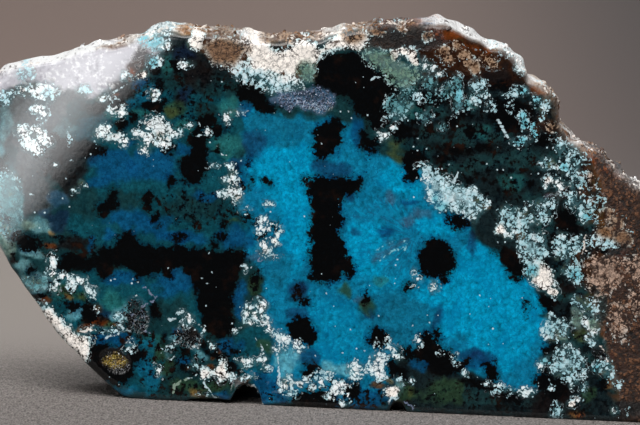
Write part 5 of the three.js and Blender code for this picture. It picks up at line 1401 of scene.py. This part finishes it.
def stone_finish():
    """The stone's material, from the lowest ground to the dust of the sawn back and the painted shade in the
    chips.
    """
    b = StoneFields()
    for layer in (clear_opal, brush_strokes, milky_opal, bare_wood, rind_crust, bloom_ground, charcoal,
                  bloom_grains, threads_and_dots, pockets):
        layer(b)
    b.lay(b.sawn * 0.2, "fog")
    # painted shade inside the chips
    b.lay(b.attribute("chip_painted_shade"), "night")
    bump = b.node("ShaderNodeBump", {}, Strength=1.0, Distance=MM, Height=relief(b))
    gloss = b.polish * (1 - 0.95 * (b.wood | b.rind)) * (1 - 0.25 * b.hollow)
    roughness = 0.74 - 0.66 * gloss - 0.12 * b.sawn + 0.03 * b.attribute("worn") * gloss
    return b.finish(Base_Color=b.colour, Roughness=roughness, Normal=bump, IOR=1.46)


stone = make_stone()
stone.data.materials.append(stone_finish())
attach(stone, "root")
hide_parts("opalized_wood")


# ================================ crystals and crumbs ================================
# The stone's attributes that the grains on it have no use for.
GRAIN_SURPLUS = [
    "pocket", "hollow", "milky", "wood", "swirl", "crest", "polish", "sawn", "chip_painted_shade", "worn",
    "packed", "dirt", "rind", "druse", "crumbly", "bloom_tint", "vein_tint", "char", "bloom", "veins",
    "dots", "mottled", "fan", "warm", "pits",
]


def shape(name, corners, faces):
    mesh = bpy.data.meshes.new(name)
    mesh.from_pydata(corners, [], faces)
    made = bpy.data.objects.new(name, mesh)
    bpy.context.scene.collection.objects.link(made)
    return made


def quartz_point():
    """One six-sided crystal a unit across, standing on its end, with a slanted tip."""
    around = [math.tau * k / 6 for k in range(6)]
    corners = [(0.5 * math.cos(a), 0.5 * math.sin(a), -0.6) for a in around]
    corners += [(0.46 * math.cos(a), 0.46 * math.sin(a), 0.7) for a in around]
    corners.append((0.08, -0.05, 1.3))
    faces = [(5, 4, 3, 2, 1, 0)]
    for k in range(6):
        after = (k + 1) % 6
        faces += [(k, after, after + 6, k + 6), (k + 6, after + 6, 12)]
    return shape("quartz_point", corners, faces)


def rind_crumb():
    """One lump of rind a unit across: a ball knocked out of round and pressed a little flat."""
    random = np.random.default_rng(31)
    ball = bmesh.new()
    bmesh.ops.create_icosphere(ball, subdivisions=2, radius=0.5)
    ball.verts.ensure_lookup_table()
    corners = np.array([v.co for v in ball.verts])
    faces = [tuple(v.index for v in face.verts) for face in ball.faces]
    ball.free()
    for bump in random.normal(size=(7, 3)):
        bump /= np.linalg.norm(bump)
        corners *= 1 + 0.16 * np.clip(corners @ bump / 0.5 - 0.55, 0, 1)[:, None] / 0.45
    corners[:, 2] = 0.7 * corners[:, 2] - 0.12
    made = shape("rind_crumb", [tuple(c) for c in corners], faces)
    made.data.shade_smooth()
    return made


def strewn(name, stone, mask, grain, finish, per_square_mm, least, most, tilt, seed):
    """Grains strewn over the stone as thickly as its attribute says, as one plain mesh."""
    tree = bpy.data.node_groups.new(name + "_strewing", "GeometryNodeTree")
    tree.interface.new_socket("Stone", in_out="INPUT", socket_type="NodeSocketGeometry")
    sizes = {"Grains per square metre": per_square_mm / MM**2, "Least size": least * MM,
             "Greatest size": most * MM, "Tilt": tilt, "Seed": seed}
    names = {}
    for label, value in sizes.items():
        kind = "NodeSocketInt" if label == "Seed" else "NodeSocketFloat"
        names[label] = tree.interface.new_socket(label, in_out="INPUT", socket_type=kind).identifier
    tree.interface.new_socket("Grains", in_out="OUTPUT", socket_type="NodeSocketGeometry")
    b = Bench(tree)
    inlet = tree.nodes.new("NodeGroupInput")
    given = {socket.name: Wire(b, socket) for socket in inlet.outputs}
    share = b.node("GeometryNodeInputNamedAttribute", {"data_type": "FLOAT"}, mask)
    density = share * given["Grains per square metre"]
    points = b.node("GeometryNodeDistributePointsOnFaces", {"distribute_method": "RANDOM"},
                    Mesh=given["Stone"], Density=density, Seed=given["Seed"])
    upright = Wire(b, points.socket.node.outputs["Rotation"])
    lean = b.node("FunctionNodeRandomValue", {"data_type": "FLOAT_VECTOR"}, (-1, -1, -3), (1, 1, 3),
                  Seed=given["Seed"])
    lean = b.node("ShaderNodeVectorMath", {"operation": "SCALE"}, lean, Scale=given["Tilt"])
    turn = b.node("FunctionNodeRotateRotation", {"rotation_space": "LOCAL"}, upright, lean)
    size = b.node("FunctionNodeRandomValue", {"data_type": "FLOAT"}, Min=given["Least size"],
                  Max=given["Greatest size"], Seed=given["Seed"] + 1)
    model = b.node("GeometryNodeObjectInfo", {"transform_space": "ORIGINAL"}, output="Geometry",
                   Object=grain)
    laid = b.node("GeometryNodeInstanceOnPoints", {}, Points=points, Instance=model, Rotation=turn,
                  Scale=size)
    real = b.node("GeometryNodeRealizeInstances", {}, laid)
    done = b.node("GeometryNodeSetMaterial", {}, Geometry=real, Material=finish)
    outlet = tree.nodes.new("NodeGroupOutput")
    tree.links.new(done.socket, outlet.inputs[0])

    carrier = bpy.data.objects.new(name + "_carrier", stone.data)
    bpy.context.scene.collection.objects.link(carrier)
    modifier = carrier.modifiers.new("strewing", "NODES")
    modifier.node_group = tree
    for label, value in sizes.items():
        modifier[names[label]] = value
    graph = bpy.context.evaluated_depsgraph_get()
    mesh = bpy.data.meshes.new_from_object(carrier.evaluated_get(graph), preserve_all_data_layers=True,
                                           depsgraph=graph)
    bpy.data.objects.remove(carrier)
    bpy.data.objects.remove(grain)
    for attribute in [a.name for a in mesh.attributes if a.name in GRAIN_SURPLUS]:
        mesh.attributes.remove(mesh.attributes[attribute])
    piece = bpy.data.objects.new(name, mesh)
    bpy.context.scene.collection.objects.link(piece)
    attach(piece, "root")
    return piece


def quartz_finish(name, clear, cloudy):
    """Glassy crystal, cloudy in places, with pale patches painted on as glints."""
    b = Finish(name)
    where = b.places()
    cloud = b.noise(where, 0.5, 2)
    colour = b.mix(cloud.ramp(-0.7, 0.7), clear, cloudy)
    golden = b.mix(cloud.ramp(-0.5, 0.8), "gold", "honey")
    colour = b.mix(b.attribute("gold"), colour, golden)
    # painted glints: pale quartz colour laid over the crystal in small patches
    colour = b.mix(b.noise(where, 0.2, 2).ramp(0.3, 1.0) * 0.75, colour, "quartz")
    return b.finish(Base_Color=colour, Roughness=0.12, IOR=1.54)


def crumb_finish():
    """Dull rind: the ground's own colour, from chalky white to brown crumb by crumb."""
    b = Finish("rind_crumbs")
    where = b.places()
    ground = b.tint("opal")
    _, cell_r, cell_s = b.cells(where, 0.7)
    dust, mid = b.noise(where, 0.16, 2), b.noise(where, 0.9, 2)
    colour = b.scaled(ground, 0.62 + 0.7 * cell_r + 0.2 * dust)
    colour = b.mix((cell_s + 0.3 * mid).ramp(0.55, 0.8) * 0.7, colour, "cream")
    colour = b.mix((0.35 - cell_s - 0.3 * mid).ramp(0, 0.3) * 0.75, colour, "bark")
    bump = b.node("ShaderNodeBump", {}, Strength=1.0, Distance=MM, Height=0.02 * dust)
    return b.finish(Base_Color=colour, Roughness=0.8, Normal=bump)


# Sizes in millimetres.
strewn("quartz_points", stone, "druse", quartz_point(), quartz_finish("quartz", "shale", "lilac"),
       per_square_mm=22, least=0.07, most=0.24, tilt=0.5, seed=3)
strewn("pocket_quartz", stone, "pocket", quartz_point(), quartz_finish("pocket", "black", "night"),
       per_square_mm=26, least=0.08, most=0.24, tilt=0.6, seed=4)
strewn("rind_crumbs", stone, "crumbly", rind_crumb(), crumb_finish(),
       per_square_mm=3.2, least=0.12, most=0.42, tilt=0.6, seed=5)


# ================================ the table, the lights and the camera ================================
TABLE_FLAT = 2.02  # metres from the middle to where the table starts to curve up
TABLE_BEND = 0.25
TABLE_HEIGHT = 1.9
TABLE_SIDES = 64
BEND_STEPS = 12


def make_table():
    """A wide pale table that curves up all round into the backdrop, with painted shade far behind the slab
    and to the right.
    """
    line = [(0.02, 0.0), (0.2, 0.0), (0.6, 0.0), (TABLE_FLAT, 0.0)]
    for step in range(1, BEND_STEPS + 1):
        angle = math.pi / 2 * step / BEND_STEPS
        line.append((TABLE_FLAT + TABLE_BEND * math.sin(angle), TABLE_BEND - TABLE_BEND * math.cos(angle)))
    line.append((TABLE_FLAT + TABLE_BEND, TABLE_HEIGHT))
    around = [math.tau * k / TABLE_SIDES for k in range(TABLE_SIDES)]
    corners = [(0, 0, 0)]
    for reach, height in line:
        corners += [(reach * math.cos(a), reach * math.sin(a), height) for a in around]
    faces = []
    for k in range(TABLE_SIDES):
        after = (k + 1) % TABLE_SIDES
        faces.append((0, 1 + k, 1 + after))
        for ring in range(len(line) - 1):
            inner, outer = 1 + ring * TABLE_SIDES, 1 + (ring + 1) * TABLE_SIDES
            faces.append((inner + k, outer + k, outer + after, inner + after))
    mesh = bpy.data.meshes.new("table")
    mesh.from_pydata(corners, [], faces)
    mesh.shade_smooth()
    sweep = bpy.data.objects.new("table", mesh)
    bpy.context.scene.collection.objects.link(sweep)
    b = Finish("table_paper")
    where = b.places()
    foreshortened = b.places((1, 0.3, 1))
    grit = 0.8 * b.noise(foreshortened, 0.2, 2) + 0.4 * b.noise(foreshortened, 0.5, 2)
    parts = b.node("ShaderNodeSeparateXYZ", {}, where)
    away = Wire(b, parts.socket.node.outputs["Y"])
    tone = b.mix(away.ramp(-25, 95), "stone", "paper")
    tone = b.mix(away.ramp(110, 330), tone, "wall")
    # painted shade: the table darkened far behind the slab and towards the right
    tone = b.mix(away.ramp(100, 260) * parts.ramp(-5, 58), tone, "dusk")
    near = 1 - away.ramp(-5, 45)
    tone = b.scaled(tone, 1 + near * 0.85 * grit)
    bump = b.node("ShaderNodeBump", {}, Strength=0.8, Distance=MM, Height=near * 0.2 * grit)
    mesh.materials.append(b.finish(Base_Color=tone, Roughness=0.85, Normal=bump))
    return sweep


make_table()

LOOK_AT = Vector((-3.86, -5.8, 19.42)) * MM
CAMERA_AWAY = 900 * MM
CAMERA_ELEVATION = 6
CAMERA_ROLL = FOOT_SLOPE
FIELD = 63.8 * MM  # how much of the slab's length the camera takes in
SENSOR = 36


def away_from(target, azimuth, elevation, distance):
    """A place at a distance from the target: round to the right of -Y, and up, in degrees."""
    a, e = math.radians(azimuth), math.radians(elevation)
    return target + distance * Vector((math.sin(a) * math.cos(e), -math.cos(a) * math.cos(e), math.sin(e)))


def facing(place, target, roll=0.0):
    """A place's matrix, looking at the target."""
    back = (place - target).normalized()
    right = Vector((0, 0, 1)).cross(back).normalized()
    up = back.cross(right)
    c, s = math.cos(roll), math.sin(roll)
    right, up = c * right + s * up, c * up - s * right
    return Matrix((
        (right.x, up.x, back.x, place.x),
        (right.y, up.y, back.y, place.y),
        (right.z, up.z, back.z, place.z),
        (0, 0, 0, 1),
    ))


camera_data = bpy.data.cameras.new("camera")
camera_data.sensor_width = SENSOR
camera_data.lens = SENSOR * CAMERA_AWAY / FIELD
camera_data.clip_start = 0.01
camera = bpy.data.objects.new("camera", camera_data)
bpy.context.scene.collection.objects.link(camera)
camera_place = away_from(LOOK_AT, 0, CAMERA_ELEVATION, CAMERA_AWAY)
camera.matrix_world = facing(camera_place, LOOK_AT, CAMERA_ROLL)
bpy.context.scene.camera = camera

DAYLIGHT = (0.98, 0.985, 1)
LAMPLIGHT = (1, 0.985, 0.97)


def soft_light(name, azimuth, elevation, distance, width, height, watts, colour=LAMPLIGHT, spread=180):
    """A lamp's panel that faces the slab: angles in degrees, lengths in metres."""
    data = bpy.data.lights.new(name, "AREA")
    data.shape = "RECTANGLE"
    data.size, data.size_y = width, height
    data.energy = watts
    data.color = colour
    data.spread = math.radians(spread)
    light = bpy.data.objects.new(name, data)
    bpy.context.scene.collection.objects.link(light)
    light.matrix_world = facing(away_from(LOOK_AT, azimuth, elevation, distance), LOOK_AT)


# The window is dim and narrow: it only puts the milky gleam on the polish.
soft_light("window", -18, 16, distance=0.6, width=0.34, height=0.3, watts=0.07, colour=DAYLIGHT, spread=28)
soft_light("ceiling", -25, 56, distance=0.8, width=0.6, height=0.5, watts=7.4)
soft_light("overhead", 30, 82, distance=0.7, width=0.5, height=0.4, watts=0.9)
soft_light("behind", 160, 24, distance=1.2, width=0.8, height=0.6, watts=4.8)

world = bpy.data.worlds.new("dim_room")
world.use_nodes = True
background = world.node_tree.nodes["Background"]
background.inputs["Color"].default_value = (0.5, 0.47, 0.45, 1)
background.inputs["Strength"].default_value = 0.07
bpy.context.scene.world = world
bpy.context.scene.view_settings.view_transform = "Standard"
